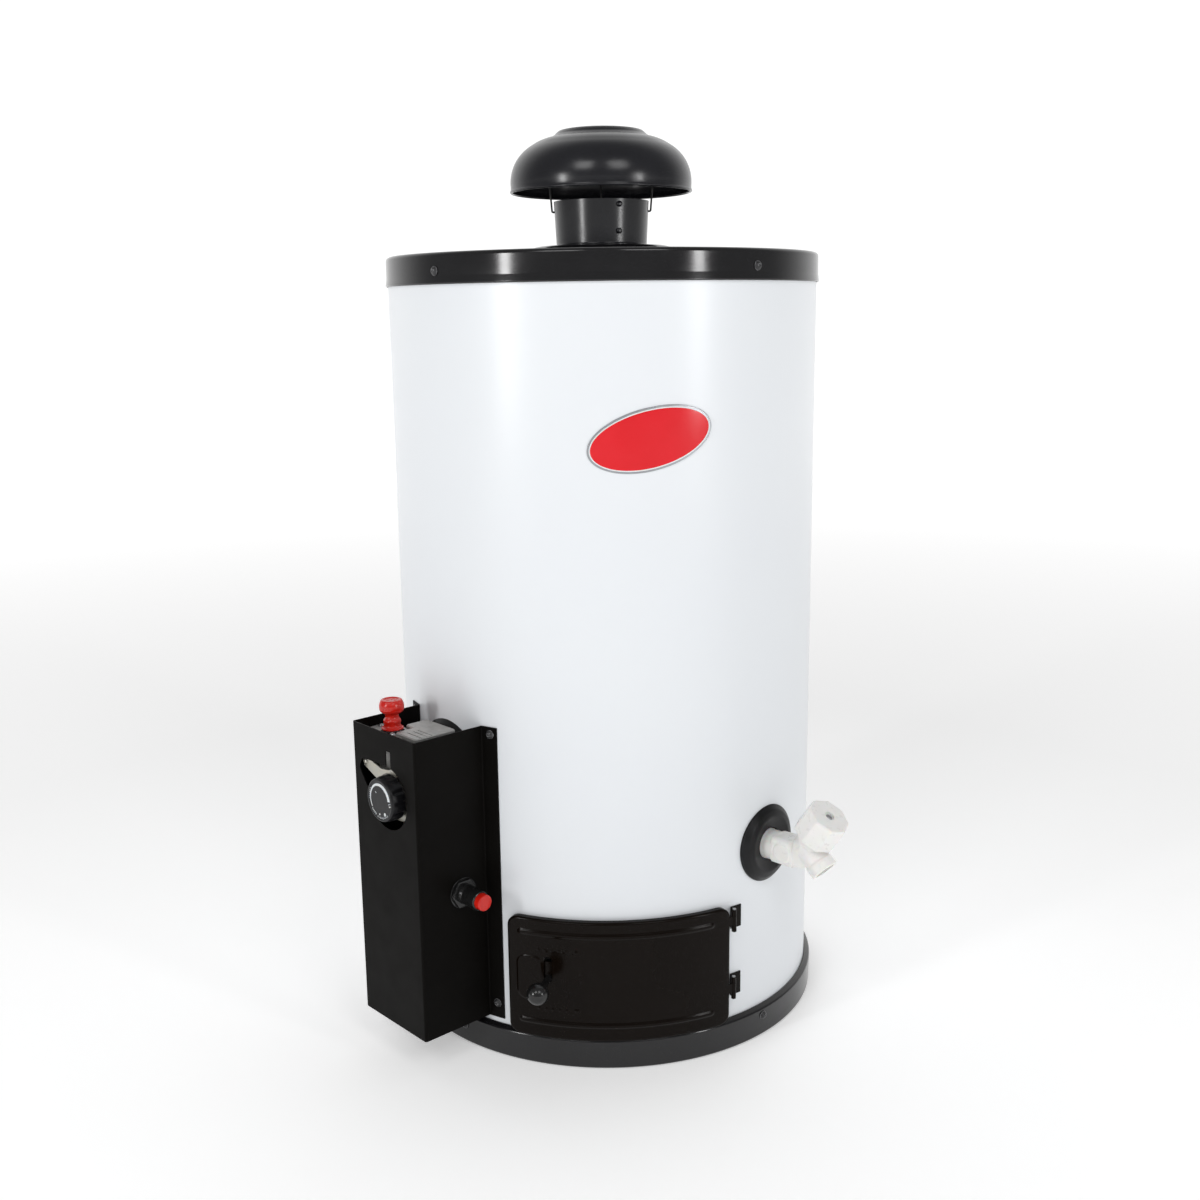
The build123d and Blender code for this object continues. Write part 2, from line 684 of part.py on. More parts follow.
with BuildPart() as gas_fittings:
    # Flare inlet for the supply line.
    with BuildSketch(facing_up(BOX, 192, out=INLET_AT[1], side=INLET_AT[0])):
        Circle(7.9)
    extrude(amount=14)
    with BuildSketch(facing_up(BOX, 206, out=INLET_AT[1], side=INLET_AT[0])):
        Circle(7.4)
    extrude(amount=CASTING_BOTTOM - 206 + 6)
    with BuildSketch(facing_up(BOX, 208, out=INLET_AT[1], side=INLET_AT[0])):
        RegularPolygon(radius=10, side_count=6, major_radius=False)
    extrude(amount=7)
    with BuildSketch(facing_up(BOX, 190, out=INLET_AT[1], side=INLET_AT[0])):
        Circle(5)
    extrude(amount=CASTING_BOTTOM - 190 + 8, mode=Mode.SUBTRACT)
    # Nuts of the manifold, the pilot tube and the thermocouple.
    for (side, out), across, bore, top in (
        (OUTLET_AT, 8.5, 5.1, CASTING_BOTTOM - 9.2),
        (PILOT_PORT_AT, 4.5, 2.1, CASTING_BOTTOM - 0.2),
        (COUPLE_PORT_AT, 4.5, 1.7, CASTING_BOTTOM - 0.2),
    ):
        with BuildSketch(facing_up(BOX, top - 9, out=out, side=side)):
            RegularPolygon(radius=across, side_count=6, major_radius=False)
            Circle(bore, mode=Mode.SUBTRACT)
        extrude(amount=9)

with BuildPart() as temperature_dial:
    dial_plane = facing_out(BOX, DIAL_BACK, side=DIAL_SIDE, z=DIAL_Z)
    with BuildSketch(dial_plane):
        Circle(DIAL_R)
        with PolarLocations(DIAL_R + 8.2, 12):
            Circle(9, mode=Mode.SUBTRACT)
    extrude(amount=DIAL_FRONT - DIAL_BACK)
    with BuildSketch(dial_plane.offset(DIAL_FRONT - DIAL_BACK - 3.5)):
        Circle(DIAL_R + 2)
        Circle(DIAL_R - 0.7, mode=Mode.SUBTRACT)
    extrude(amount=6, mode=Mode.SUBTRACT)
    with BuildSketch(dial_plane):
        Circle(DIAL_R - 2.5)
        Circle(5.5, mode=Mode.SUBTRACT)
    extrude(amount=8, mode=Mode.SUBTRACT)
    with BuildSketch(dial_plane):
        Circle(DIAL_SHAFT_R)
    extrude(amount=9, mode=Mode.SUBTRACT)

with BuildPart() as dial_shaft:
    with BuildSketch(facing_out(BOX, 240, side=DIAL_SIDE, z=DIAL_Z)):
        Circle(DIAL_SHAFT_R)
    extrude(amount=DIAL_BACK + 9 - 240)

KNOB_BASE_Z = KNOB_PLATE_Z + 2.0
with BuildPart() as pilot_knob:
    with BuildSketch(section(BOX, side=KNOB_SIDE, out=KNOB_OUT)):
        with BuildLine():
            Polyline((0, 314), (3, 314), (3, KNOB_BASE_Z), (10, KNOB_BASE_Z), (10, KNOB_BASE_Z + 1.6))
            Spline(
                (10, KNOB_BASE_Z + 1.6),
                (7.6, KNOB_BASE_Z + 4),
                (7.9, KNOB_BASE_Z + 8.5),
                (6.3, KNOB_BASE_Z + 11),
                (6.6, KNOB_BASE_Z + 14),
                (9.6, KNOB_BASE_Z + 16),
            )
            Spline(
                (9.6, KNOB_BASE_Z + 16),
                (11.3, KNOB_BASE_Z + 19.5),
                (11.0, KNOB_BASE_Z + 24.5),
                (9.0, KNOB_BASE_Z + 27),
            )
            ThreePointArc((9.0, KNOB_BASE_Z + 27), (7.4, KNOB_BASE_Z + 27.4), (6.2, KNOB_BASE_Z + 26.8))
            Line((6.2, KNOB_BASE_Z + 26.8), (0, KNOB_BASE_Z + 26.4))
            Line((0, KNOB_BASE_Z + 26.4), (0, 314))
        make_face()
    revolve(axis=Axis(BOX.from_local_coords(Vector(KNOB_SIDE, -KNOB_OUT, 0)), (0, 0, 1)))

with BuildPart() as pilot_stem:
    with BuildSketch(facing_up(BOX, 272, out=KNOB_OUT, side=KNOB_SIDE)):
        Circle(3)
    extrude(amount=314 - 272)

with BuildPart() as pilot_spring:
    spring_plane = facing_up(BOX, CUP_BOTTOM + 0.7, out=KNOB_OUT, side=KNOB_SIDE)
    with BuildLine(spring_plane) as coil:
        Helix(pitch=3.4, height=KNOB_BASE_Z - CUP_BOTTOM - 1.4, radius=7)
    with BuildSketch(Plane(origin=coil.line @ 0, z_dir=coil.line % 0)):
        Circle(0.6)
    sweep(path=coil.line, is_frenet=True)

# ---------------------------------------------------------------- piezo igniter
PIEZO_BACK = 28.0
PIEZO_FACE = 74.0
BUTTON_BACK = 66.0
PLUNGER_BACK = 40.0
BUTTON_FACE = 80.5


def on_piezo(side):
    """Plane across the igniter's axis, at a distance to the right of the box's middle."""
    return facing_right(BOX, side, out=PIEZO_OUT, z=PIEZO_Z)


with BuildPart() as piezo_body:
    with BuildSketch(on_piezo(PIEZO_BACK)):
        Circle(PIEZO_R - 1)
    extrude(amount=BOX_HALF - BOX_SHEET - PIEZO_BACK - 3)
    with BuildSketch(on_piezo(BOX_HALF - BOX_SHEET - 3.2)):
        Circle(PIEZO_R + 4)
    extrude(amount=3)
    with BuildSketch(on_piezo(BOX_HALF - BOX_SHEET - 1)):
        Circle(PIEZO_R)
    extrude(amount=PIEZO_FACE - BOX_HALF + BOX_SHEET + 1)
    chamfer(piezo_body.edges().sort_by(Axis(BOX.origin, BOX.x_dir))[-1], 0.8)
    with BuildSketch(on_piezo(BUTTON_BACK - 6.5)):
        Circle(PIEZO_BUTTON_R + RUNNING_FIT)
    extrude(amount=30, mode=Mode.SUBTRACT)
    with BuildSketch(on_piezo(PLUNGER_BACK - 7)):
        Circle(3 + RUNNING_FIT)
    extrude(amount=60, mode=Mode.SUBTRACT)

with BuildPart() as piezo_nut:
    with BuildSketch(on_piezo(BOX_HALF + 0.1)):
        RegularPolygon(radius=12, side_count=6, major_radius=False)
        Circle(PIEZO_R + 0.05, mode=Mode.SUBTRACT)
    extrude(amount=4.5)

with BuildPart() as piezo_button:
    with BuildSketch(on_piezo(BUTTON_BACK)):
        Circle(PIEZO_BUTTON_R)
    extrude(amount=BUTTON_FACE - BUTTON_BACK)
    fillet(piezo_button.edges().sort_by(Axis(BOX.origin, BOX.x_dir))[-1], 1.2)
    with BuildSketch(on_piezo(PLUNGER_BACK)):
        Circle(3)
    extrude(amount=BUTTON_BACK + 1 - PLUNGER_BACK)

# ---------------------------------------------------------------- burner
BURNER_Z = 70.0
MIXER_Z = 50.0
ORIFICE_OUT = 116.0
BRACKET_WIDTH = 36.0

with BuildPart() as burner_head:
    with BuildSketch(Plane.XZ):
        with BuildLine():
            Polyline(
                (13.2, BURNER_Z),
                (30, BURNER_Z),
                (55, BURNER_Z + 6),
                (55, BURNER_Z + 13),
                (42, BURNER_Z + 17),
                (0, BURNER_Z + 17),
                (0, BURNER_Z + 15),
                (41, BURNER_Z + 15),
                (53, BURNER_Z + 11.5),
                (53, BURNER_Z + 7.5),
                (29, BURNER_Z + 2),
                (13.2, BURNER_Z + 2),
                close=True,
            )
        make_face()
    revolve(axis=Axis.Z)
    with PolarLocations(49, 30):
        with Locations((0, 0, BURNER_Z + 15)):
            Box(11, 2.2, 8, mode=Mode.SUBTRACT)

with BuildPart() as mixing_tube:
    with BuildSketch(facing_out(BOX, -18, z=MIXER_Z)):
        Circle(14)
    extrude(amount=18 + 112)
    with BuildSketch(Plane.XY.offset(MIXER_Z)):
        Circle(13)
    extrude(amount=BURNER_Z + 1.5 - MIXER_Z)
    with BuildSketch(facing_out(BOX, -16.5, z=MIXER_Z)):
        Circle(12.5)
    extrude(amount=160, mode=Mode.SUBTRACT)
    with BuildSketch(Plane.XY.offset(MIXER_Z)):
        Circle(11.6)
    extrude(amount=40, mode=Mode.SUBTRACT)

with BuildPart() as burner_bracket:
    with BuildSketch(facing_out(BOX, -BRACKET_WIDTH / 2)):
        with BuildLine():
            FilletPolyline(
                (-96, PAN_FLOOR_Z + PAN_SHEET + 0.1),
                (-76, PAN_FLOOR_Z + PAN_SHEET + 0.1),
                (-62, BURNER_Z - 4),
                (62, BURNER_Z - 4),
                (76, PAN_FLOOR_Z + PAN_SHEET + 0.1),
                (96, PAN_FLOOR_Z + PAN_SHEET + 0.1),
                radius=3,
            )
            offset(amount=2, side=Side.LEFT)
        make_face()
    extrude(amount=BRACKET_WIDTH)
    with BuildSketch(Plane.XY.offset(BURNER_Z - 10)):
        Circle(13.3)
    extrude(amount=20, mode=Mode.SUBTRACT)


def tube_along(points, bend, radius):
    """Bent tube through points given as side, outward distance and height in the box's axes."""
    corners = [BOX.from_local_coords(Vector(side, -out, z)) for side, out, z in points]
    with BuildPart() as tube:
        with BuildLine() as path:
            FilletPolyline(*corners, radius=bend)
        with BuildSketch(Plane(origin=path.line @ 0, z_dir=path.line % 0)):
            Circle(radius)
        sweep(path=path.line)
    return tube


PORT_TOP = CASTING_BOTTOM - 0.5
gas_manifold = tube_along(
    [(*OUTLET_AT, CASTING_BOTTOM - 9.5), (*OUTLET_AT, MIXER_Z), (0, ORIFICE_OUT + 8, MIXER_Z)],
    bend=22,
    radius=5,
)
pilot_tube = tube_along(
    [(*PILOT_PORT_AT, PORT_TOP), (*PILOT_PORT_AT, 79), (-12, 84, 79), (-12, 84, 87)],
    bend=4,
    radius=2,
)
thermocouple = tube_along(
    [(*COUPLE_PORT_AT, PORT_TOP), (*COUPLE_PORT_AT, 68), (-2, 79, 68), (-2, 79, 106)],
    bend=8,
    radius=1.6,
)
ignition_lead = tube_along(
    [
        (PIEZO_BACK, PIEZO_OUT, PIEZO_Z),
        (10, PIEZO_OUT, PIEZO_Z),
        (10, PIEZO_OUT, 100),
        (9, 120, 74),
        (9, 79, 74),
        (9, 79, 80),
    ],
    bend=4.5,
    radius=2.2,
)

with BuildPart() as burner_orifice:
    with BuildSketch(facing_out(BOX, ORIFICE_OUT, z=MIXER_Z)):
        RegularPolygon(radius=7, side_count=6, major_radius=False)
    extrude(amount=9)
    with BuildSketch(facing_out(BOX, ORIFICE_OUT - 8, z=MIXER_Z)):
        Circle(4)
    extrude(amount=9)
    with BuildSketch(facing_out(BOX, ORIFICE_OUT + 8, z=MIXER_Z)):
        Circle(5.1)
    extrude(amount=9, mode=Mode.SUBTRACT)
    with BuildSketch(facing_out(BOX, ORIFICE_OUT - 10, z=MIXER_Z)):
        Circle(0.8)
    extrude(amount=20, mode=Mode.SUBTRACT)

PILOT_DECK_Z = 87.5
with BuildPart() as pilot_burner:
    with BuildSketch(facing_up(BOX, PILOT_DECK_Z, out=78, side=-2)):
        RectangleRounded(34, 16, 2)
    extrude(amount=1.5)
    with BuildSketch(facing_up(BOX, PILOT_DECK_Z + 1.5, out=79, side=-12)):
        Circle(5)
    extrude(amount=12)
    with BuildSketch(facing_up(BOX, PILOT_DECK_Z + 6, out=72, side=-12)):
        Rectangle(6, 10)
    extrude(amount=4, mode=Mode.SUBTRACT)
    for side in (-2, 9):
        with Locations(facing_up(BOX, PILOT_DECK_Z, out=79, side=side)):
            Cylinder(2.9, 8, mode=Mode.SUBTRACT)
    with BuildSketch(facing_up(BOX, BURNER_Z - 2, out=70.5, side=-2)):
        Rectangle(12, 1.5)
    extrude(amount=PILOT_DECK_Z - BURNER_Z + 3)
    with BuildSketch(facing_up(BOX, BURNER_Z - 2, out=44, side=-2)):
        Rectangle(12, 53)
    extrude(amount=1.5)
    with BuildSketch(Plane.XY.offset(BURNER_Z - 10)):
        Circle(13.5)
    extrude(amount=20, mode=Mode.SUBTRACT)

with BuildPart() as spark_electrode:
    with BuildSketch(facing_up(BOX, 80.2, out=79, side=9)):
        Circle(2.8)
    extrude(amount=18)
    with BuildSketch(facing_up(BOX, 98.2, out=79, side=9)):
        Circle(0.8)
    extrude(amount=6)
    with BuildSketch(facing_right(BOX, 1, out=79, z=104.2)):
        Circle(0.8)
    extrude(amount=8)

# ---------------------------------------------------------------- access door
DOOR_ARC = DOOR_RIGHT - DOOR_LEFT
DOOR_HEIGHT = DOOR_TOP - DOOR_BOTTOM
DOOR_MID_Z = (DOOR_TOP + DOOR_BOTTOM) / 2
DOOR_HALF_WIDTH = DOOR_R * sin(radians(DOOR_ARC / 2))
DOOR_INNER_R = DOOR_R - DOOR_SHEET
FIXED_KNUCKLES = [(51.0, 56.5), (66.5, 72.0), (117.0, 122.5), (132.5, 138.0)]
DOOR_KNUCKLES = [(56.8, 66.2), (122.8, 132.2)]
HINGE = around(HINGE_AZIMUTH)
KNUCKLE_R = 2.2

with BuildPart() as door_panel:
    with BuildSketch(facing_out(DOOR, 120, z=DOOR_MID_Z)):
        RectangleRounded(2 * DOOR_HALF_WIDTH, DOOR_HEIGHT, DOOR_CORNER)
    extrude(amount=120)
    with BuildSketch(Plane.XY.offset(DOOR_BOTTOM)):
        Circle(DOOR_R)
        Circle(JACKET_R + 0.8, mode=Mode.SUBTRACT)
    extrude(amount=DOOR_HEIGHT, mode=Mode.INTERSECT)
    # Hollow it to a tray that is open at the back and at the bottom.
    with BuildSketch(facing_out(DOOR, 120, z=DOOR_MID_Z - 5)):
        tray_width = 2 * (DOOR_HALF_WIDTH - DOOR_SHEET)
        RectangleRounded(tray_width, DOOR_HEIGHT - 2 * DOOR_SHEET + 10, DOOR_CORNER - 1)
    tray = extrude(amount=120, mode=Mode.PRIVATE)
    with BuildSketch(Plane.XY.offset(DOOR_BOTTOM - 20)):
        Circle(DOOR_INNER_R)
    inside = extrude(amount=DOOR_HEIGHT + 30, mode=Mode.PRIVATE)
    add(tray & inside, mode=Mode.SUBTRACT)
    with BuildSketch(Plane.XY.offset(DOOR_BOTTOM - 1)):
        Circle(DOOR_INNER_R)
    extrude(amount=PAN_HEIGHT + 1.2 - DOOR_BOTTOM + 1, mode=Mode.SUBTRACT)
    # Two pressed beads across the panel.
    for bead_z in (42.8, 128.3):
        bead_foot = DOOR_R - 0.3
        with BuildSketch(section(around(-23.6))):
            with BuildLine():
                ThreePointArc((bead_foot, bead_z - 3), (DOOR_R + 1.3, bead_z), (bead_foot, bead_z + 3))
                Line((bead_foot, bead_z + 3), (bead_foot, bead_z - 3))
            make_face()
        revolve(axis=Axis.Z, revolution_arc=50.6)
    # Raised pad beside the latch, and the latch's slot.
    with BuildSketch(facing_out(around(-20.2), 120, z=84.7)):
        RectangleRounded(23, 42.5, 8)
    pad = extrude(amount=120, mode=Mode.PRIVATE)
    with BuildSketch(Plane.XY.offset(DOOR_BOTTOM)):
        Circle(DOOR_R + 0.9)
        Circle(DOOR_R - 0.4, mode=Mode.SUBTRACT)
    skin = extrude(amount=DOOR_HEIGHT, mode=Mode.PRIVATE)
    add(pad & skin)
    with BuildSketch(facing_out(LATCH, 150, z=LATCH_Z + LATCH_TRAVEL / 2)):
        SlotCenterToCenter(LATCH_TRAVEL, 7.6, rotation=90)
    extrude(amount=80, mode=Mode.SUBTRACT)
    # Rolled knuckles on the hinge side, joined to the panel by their leaves.
    for low, high in DOOR_KNUCKLES:
        with BuildSketch(facing_up(HINGE, low, out=HINGE_R)):
            Circle(KNUCKLE_R)
        extrude(amount=high - low)
        with BuildSketch(section(around(DOOR_RIGHT - 0.6))):
            with Locations((DOOR_R - 0.6, (low + high) / 2)):
                Rectangle(1.2, high - low)
        revolve(axis=Axis.Z, revolution_arc=HINGE_AZIMUTH - DOOR_RIGHT + 0.6)
    with BuildSketch(facing_up(HINGE, DOOR_BOTTOM, out=HINGE_R)):
        Circle(HINGE_PIN_R + RUNNING_FIT)
    extrude(amount=DOOR_HEIGHT, mode=Mode.SUBTRACT)

with BuildPart() as door_hinge_leaves:
    for low, high in FIXED_KNUCKLES:
        with BuildSketch(facing_up(HINGE, low, out=HINGE_R)):
            Circle(KNUCKLE_R)
            with Locations((1.2, 3.2)):
                Rectangle(1.2, 6.4)
            Circle(HINGE_PIN_R, mode=Mode.SUBTRACT)
        extrude(amount=high - low)
    for low, high in ((51.0, 72.0), (117.0, 138.0)):
        with BuildSketch(section(around(HINGE_AZIMUTH + 0.2))):
            with Locations((JACKET_R + 0.6, (low + high) / 2)):
                Rectangle(1.0, high - low)
        revolve(axis=Axis.Z, revolution_arc=3.4)

with BuildPart() as door_hinge_pins:
    for low, high in ((51.0, 72.0), (117.0, 138.0)):
        with BuildSketch(facing_up(HINGE, low - 0.8, out=HINGE_R)):
            Circle(HINGE_PIN_R)
        extrude(amount=high - low + 0.8)
        with BuildSketch(facing_up(HINGE, high, out=HINGE_R)):
            Circle(HINGE_PIN_R + 0.6)
        extrude(amount=0.9)

LATCH_PLATE_R = 205.4
with BuildPart() as latch_slider:
    with BuildSketch(facing_out(LATCH, 150, z=LATCH_Z)):
        RectangleRounded(20, 30, 3)
    plate = extrude(amount=80, mode=Mode.PRIVATE)
    with BuildSketch(Plane.XY.offset(LATCH_Z - 20)):
        Circle(LATCH_PLATE_R)
        Circle(LATCH_PLATE_R - 1.2, mode=Mode.SUBTRACT)
    ring = extrude(amount=40, mode=Mode.PRIVATE)
    add(plate & ring)
    # Finger that reaches in beside the edge of the opening.
    with BuildSketch(facing_up(LATCH, LATCH_Z - 6, out=199, side=-7)):
        Rectangle(1.5, 12)
    extrude(amount=12)
    with BuildSketch(facing_up(LATCH, LATCH_Z - 6, out=193.6, side=-10)):
        Rectangle(7.5, 1.5)
    extrude(amount=12)
    with BuildSketch(facing_out(LATCH, 200, z=LATCH_Z)):
        Circle(LATCH_STEM_R)
    extrude(amount=20, mode=Mode.SUBTRACT)

with BuildPart() as latch_knob:
    with BuildSketch(facing_out(LATCH, LATCH_PLATE_R - 1.2, z=LATCH_Z)):
        Circle(LATCH_STEM_R)
    extrude(amount=LATCH_BALL_OUT - LATCH_PLATE_R)
    with BuildSketch(facing_out(LATCH, LATCH_BALL_OUT - LATCH_BALL_R - 2.5, z=LATCH_Z)):
        Circle(4.7)
    extrude(amount=5)
    with Locations(facing_out(LATCH, LATCH_BALL_OUT, z=LATCH_Z)):
        Sphere(LATCH_BALL_R)

# ---------------------------------------------------------------- drain valve
HANDLE_LEAN = radians(DRAIN_HANDLE_TILT)


def along_handle(distance):
    """Plane across the handle's axis, at a distance from the valve's branch point."""
    out = DRAIN_PIVOT_OUT + distance * cos(HANDLE_LEAN)
    z = DRAIN_Z + distance * sin(HANDLE_LEAN)
    return tilted(DRAIN, out, z, DRAIN_HANDLE_TILT)


OUTLET_START_OUT = 243.5
OUTLET_START_Z = 197.0
OUTLET_LENGTH = 28.6
OUTLET_END = 8.8
with BuildPart() as drain_body:
    with BuildSketch(facing_out(DRAIN, TANK_R - 2, z=DRAIN_Z)):
        Circle(PIPE_R)
    extrude(amount=JACKET_R + 1 - TANK_R + 2)
    with BuildSketch(facing_out(DRAIN, JACKET_R + 1, z=DRAIN_Z)):
        Circle(DRAIN_BODY_R + 0.6)
    extrude(amount=15)
    with BuildSketch(facing_out(DRAIN, JACKET_R + 14, z=DRAIN_Z)):
        RectangleRounded(25.5, 25.5, 5)
    extrude(amount=22)
    with BuildSketch(along_handle(-8)):
        Circle(11.5)
    extrude(amount=30)
    with BuildSketch(along_handle(15)):
        Circle(13.2)
    extrude(amount=7)
    outlet_plane = tilted(DRAIN, OUTLET_START_OUT, OUTLET_START_Z, DRAIN_OUTLET_TILT)
    with BuildSketch(outlet_plane):
        Circle(DRAIN_BODY_R - 0.7)
    extrude(amount=OUTLET_LENGTH - OUTLET_END)
    with BuildSketch(outlet_plane.offset(OUTLET_LENGTH - OUTLET_END)):
        Circle(DRAIN_BODY_R)
    extrude(amount=OUTLET_END)
    chamfer(drain_body.edges().filter_by(GeomType.CIRCLE).sort_by(radial_axis(DRAIN))[-1], 0.8)
    # Waterway: inlet, stem chamber and outlet.
    with BuildSketch(facing_out(DRAIN, TANK_R - 4, z=DRAIN_Z)):
        Circle(8)
    extrude(amount=DRAIN_PIVOT_OUT - 8 - TANK_R + 4, mode=Mode.SUBTRACT)
    with BuildSketch(along_handle(-4)):
        Circle(8)
    extrude(amount=40, mode=Mode.SUBTRACT)
    with BuildSketch(outlet_plane.offset(8)):
        Circle(9)
    extrude(amount=OUTLET_LENGTH, mode=Mode.SUBTRACT)

with BuildPart() as drain_washer:
    with BuildSketch(along_handle(-3.8)):
        Circle(7.5)
    extrude(amount=3)

HANDLE_BACK = 24.5
HANDLE_FRONT = 52.5
with BuildPart() as drain_stem:
    with BuildSketch(along_handle(-0.7)):
        Circle(7.2)
    extrude(amount=5)
    with BuildSketch(along_handle(4.3)):
        Circle(4)
    extrude(amount=HANDLE_FRONT - 8 - 4.3)

with BuildPart() as drain_handle:
    with BuildSketch(along_handle(HANDLE_BACK)):
        RegularPolygon(radius=19, side_count=8, major_radius=False)
    extrude(amount=HANDLE_FRONT - HANDLE_BACK)
    handle_axis = Axis(along_handle(0).origin, along_handle(0).z_dir)
    fillet(drain_handle.edges().group_by(handle_axis)[-1], 1.6)
    with BuildSketch(along_handle(HANDLE_BACK)):
        Circle(15.5)
    extrude(amount=16, mode=Mode.SUBTRACT)
    with BuildSketch(along_handle(HANDLE_BACK)):
        Circle(4)
    extrude(amount=HANDLE_FRONT - 8 - HANDLE_BACK, mode=Mode.SUBTRACT)
    with BuildSketch(along_handle(HANDLE_FRONT - 2.2)):
        Circle(4.6)
    extrude(amount=6, mode=Mode.SUBTRACT)
    with BuildSketch(along_handle(HANDLE_FRONT - 8)):
        Circle(1.6)
    extrude(amount=12, mode=Mode.SUBTRACT)

with BuildPart() as drain_handle_screw:
    with BuildSketch(along_handle(HANDLE_FRONT - 8)):
        Circle(1.6)
    extrude(amount=5.8)
    with BuildSketch(along_handle(HANDLE_FRONT - 2.2)):
        Circle(3.6)
    extrude(amount=2.0)
    with BuildSketch(along_handle(HANDLE_FRONT - 1.3)):
        Rectangle(4.6, 0.9)
        Rectangle(0.9, 4.6)
    extrude(amount=3, mode=Mode.SUBTRACT)


# ---------------------------------------------------------------- badge
def badge_plate(width, height, inner_r, outer_r):
    """Oval plate bent to the jacket's curve."""
    with BuildPart() as plate:
        with BuildSketch(facing_out(BADGE, 150, z=BADGE_Z)):
            Ellipse(width / 2, height / 2, rotation=BADGE_TILT)
        extrude(amount=100)
        with BuildSketch(Plane.XY.offset(BADGE_Z - 60)):
            Circle(outer_r)
            Circle(inner_r, mode=Mode.SUBTRACT)
        extrude(amount=120, mode=Mode.INTERSECT)
    return plate


badge_base = badge_plate(108, 52, JACKET_R + 0.1, JACKET_R + 0.9)
badge_face = badge_plate(103, 47, JACKET_R + 0.9, JACKET_R + 1.5)

# ---------------------------------------------------------------- write every piece
pieces = {
    "base_pan": base_pan,
    "base_pan_screws": base_pan_screws,
    "jacket": jacket,
    "top_cover": top_cover,
    "top_cover_screws": top_cover_screws,
    "flue_collar": flue_collar,
    "collar_rivets": collar_rivets,
    "hood_cap": hood_cap,
    "hood_wires": hood_wires,
    "tank_shell": tank_shell,
    "tank_top_head": tank_top_head,
    "tank_bottom_head": tank_bottom_head,
    "flue_tube": flue_tube,
    "flue_baffle": flue_baffle,
    "anode_rod": anode_rod,
    "tank_spuds": tank_spuds,
    "hot_outlet_nipple": hot_outlet_nipple,
    "cold_inlet_nipple": cold_inlet_nipple,
    "insulation": insulation,
    "drain_escutcheon": drain_escutcheon,
    "pipe_escutcheons": pipe_escutcheons,
    "control_box": control_box,
    "control_box_screws": control_box_screws,
    "control_body": control_body,
    "control_shank": control_shank,
    "thermostat_probe": thermostat_probe,
    "dial_bracket": dial_bracket,
    "control_screws": control_screws,
    "gas_fittings": gas_fittings,
    "temperature_dial": temperature_dial,
    "dial_shaft": dial_shaft,
    "pilot_knob": pilot_knob,
    "pilot_stem": pilot_stem,
    "pilot_spring": pilot_spring,
    "piezo_body": piezo_body,
    "piezo_nut": piezo_nut,
    "piezo_button": piezo_button,
    "ignition_lead": ignition_lead,
    "gas_manifold": gas_manifold,
    "burner_orifice": burner_orifice,
    "mixing_tube": mixing_tube,
    "burner_head": burner_head,
    "burner_bracket": burner_bracket,
    "pilot_burner": pilot_burner,
    "pilot_tube": pilot_tube,
    "thermocouple": thermocouple,
    "spark_electrode": spark_electrode,
    "door_panel": door_panel,
    "door_hinge_leaves": door_hinge_leaves,
    "door_hinge_pins": door_hinge_pins,
    "latch_slider": latch_slider,
    "latch_knob": latch_knob,
    "drain_body": drain_body,
    "drain_washer": drain_washer,
    "drain_stem": drain_stem,
    "drain_handle": drain_handle,
    "drain_handle_screw": drain_handle_screw,
    "badge_base": badge_base,
    "badge_face": badge_face,
}
for name, piece in pieces.items():
    piece.part.label = name
    export_step(piece.part, f"parts/{name}.step")
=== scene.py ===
import json
from math import acos, asin, atan2, cos, degrees, hypot, pi, radians, sin, sqrt, tan

import bmesh
import bpy
from mathutils import Matrix, Vector


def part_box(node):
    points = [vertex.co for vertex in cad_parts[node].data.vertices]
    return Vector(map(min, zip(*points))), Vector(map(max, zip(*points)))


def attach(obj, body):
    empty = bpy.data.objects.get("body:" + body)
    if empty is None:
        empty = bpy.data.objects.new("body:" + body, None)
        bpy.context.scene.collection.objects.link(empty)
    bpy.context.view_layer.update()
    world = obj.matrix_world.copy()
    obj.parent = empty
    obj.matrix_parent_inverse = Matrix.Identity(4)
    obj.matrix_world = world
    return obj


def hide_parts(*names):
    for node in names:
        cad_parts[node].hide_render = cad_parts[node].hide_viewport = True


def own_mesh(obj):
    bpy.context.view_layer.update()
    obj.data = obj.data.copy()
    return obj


# A gas storage water heater. Shapes are built in millimetres in the row frame and scaled to metres
# when they become meshes. An azimuth is the angle about Z from the front, positive to the right.
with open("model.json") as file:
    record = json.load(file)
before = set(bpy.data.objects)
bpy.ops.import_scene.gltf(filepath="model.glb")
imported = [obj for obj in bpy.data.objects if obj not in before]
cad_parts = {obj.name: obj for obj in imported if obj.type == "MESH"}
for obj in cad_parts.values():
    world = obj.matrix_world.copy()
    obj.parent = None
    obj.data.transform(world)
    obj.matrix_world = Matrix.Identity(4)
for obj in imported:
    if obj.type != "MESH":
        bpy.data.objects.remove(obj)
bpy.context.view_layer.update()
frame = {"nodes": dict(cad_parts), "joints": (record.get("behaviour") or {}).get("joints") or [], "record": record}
nodes = frame["nodes"]
joints = {joint["name"]: joint for joint in frame["joints"]}
node_slots = {part["node"]: part["material_slot"] for part in frame["record"]["subparts"]}

MM = 0.001
UP = Vector((0, 0, 1))


# ---- places
def azimuth_of(direction):
    return degrees(atan2(direction[0], -direction[1]))


def compass(azimuth):
    """Directions to the right and away from the tank at an azimuth."""
    turn = radians(azimuth)
    return Vector((cos(turn), sin(turn), 0)), Vector((sin(turn), -cos(turn), 0))


def placed(right, up, normal, at):
    matrix = Matrix((right, up, normal)).transposed().to_4x4()
    matrix.translation = at
    return matrix


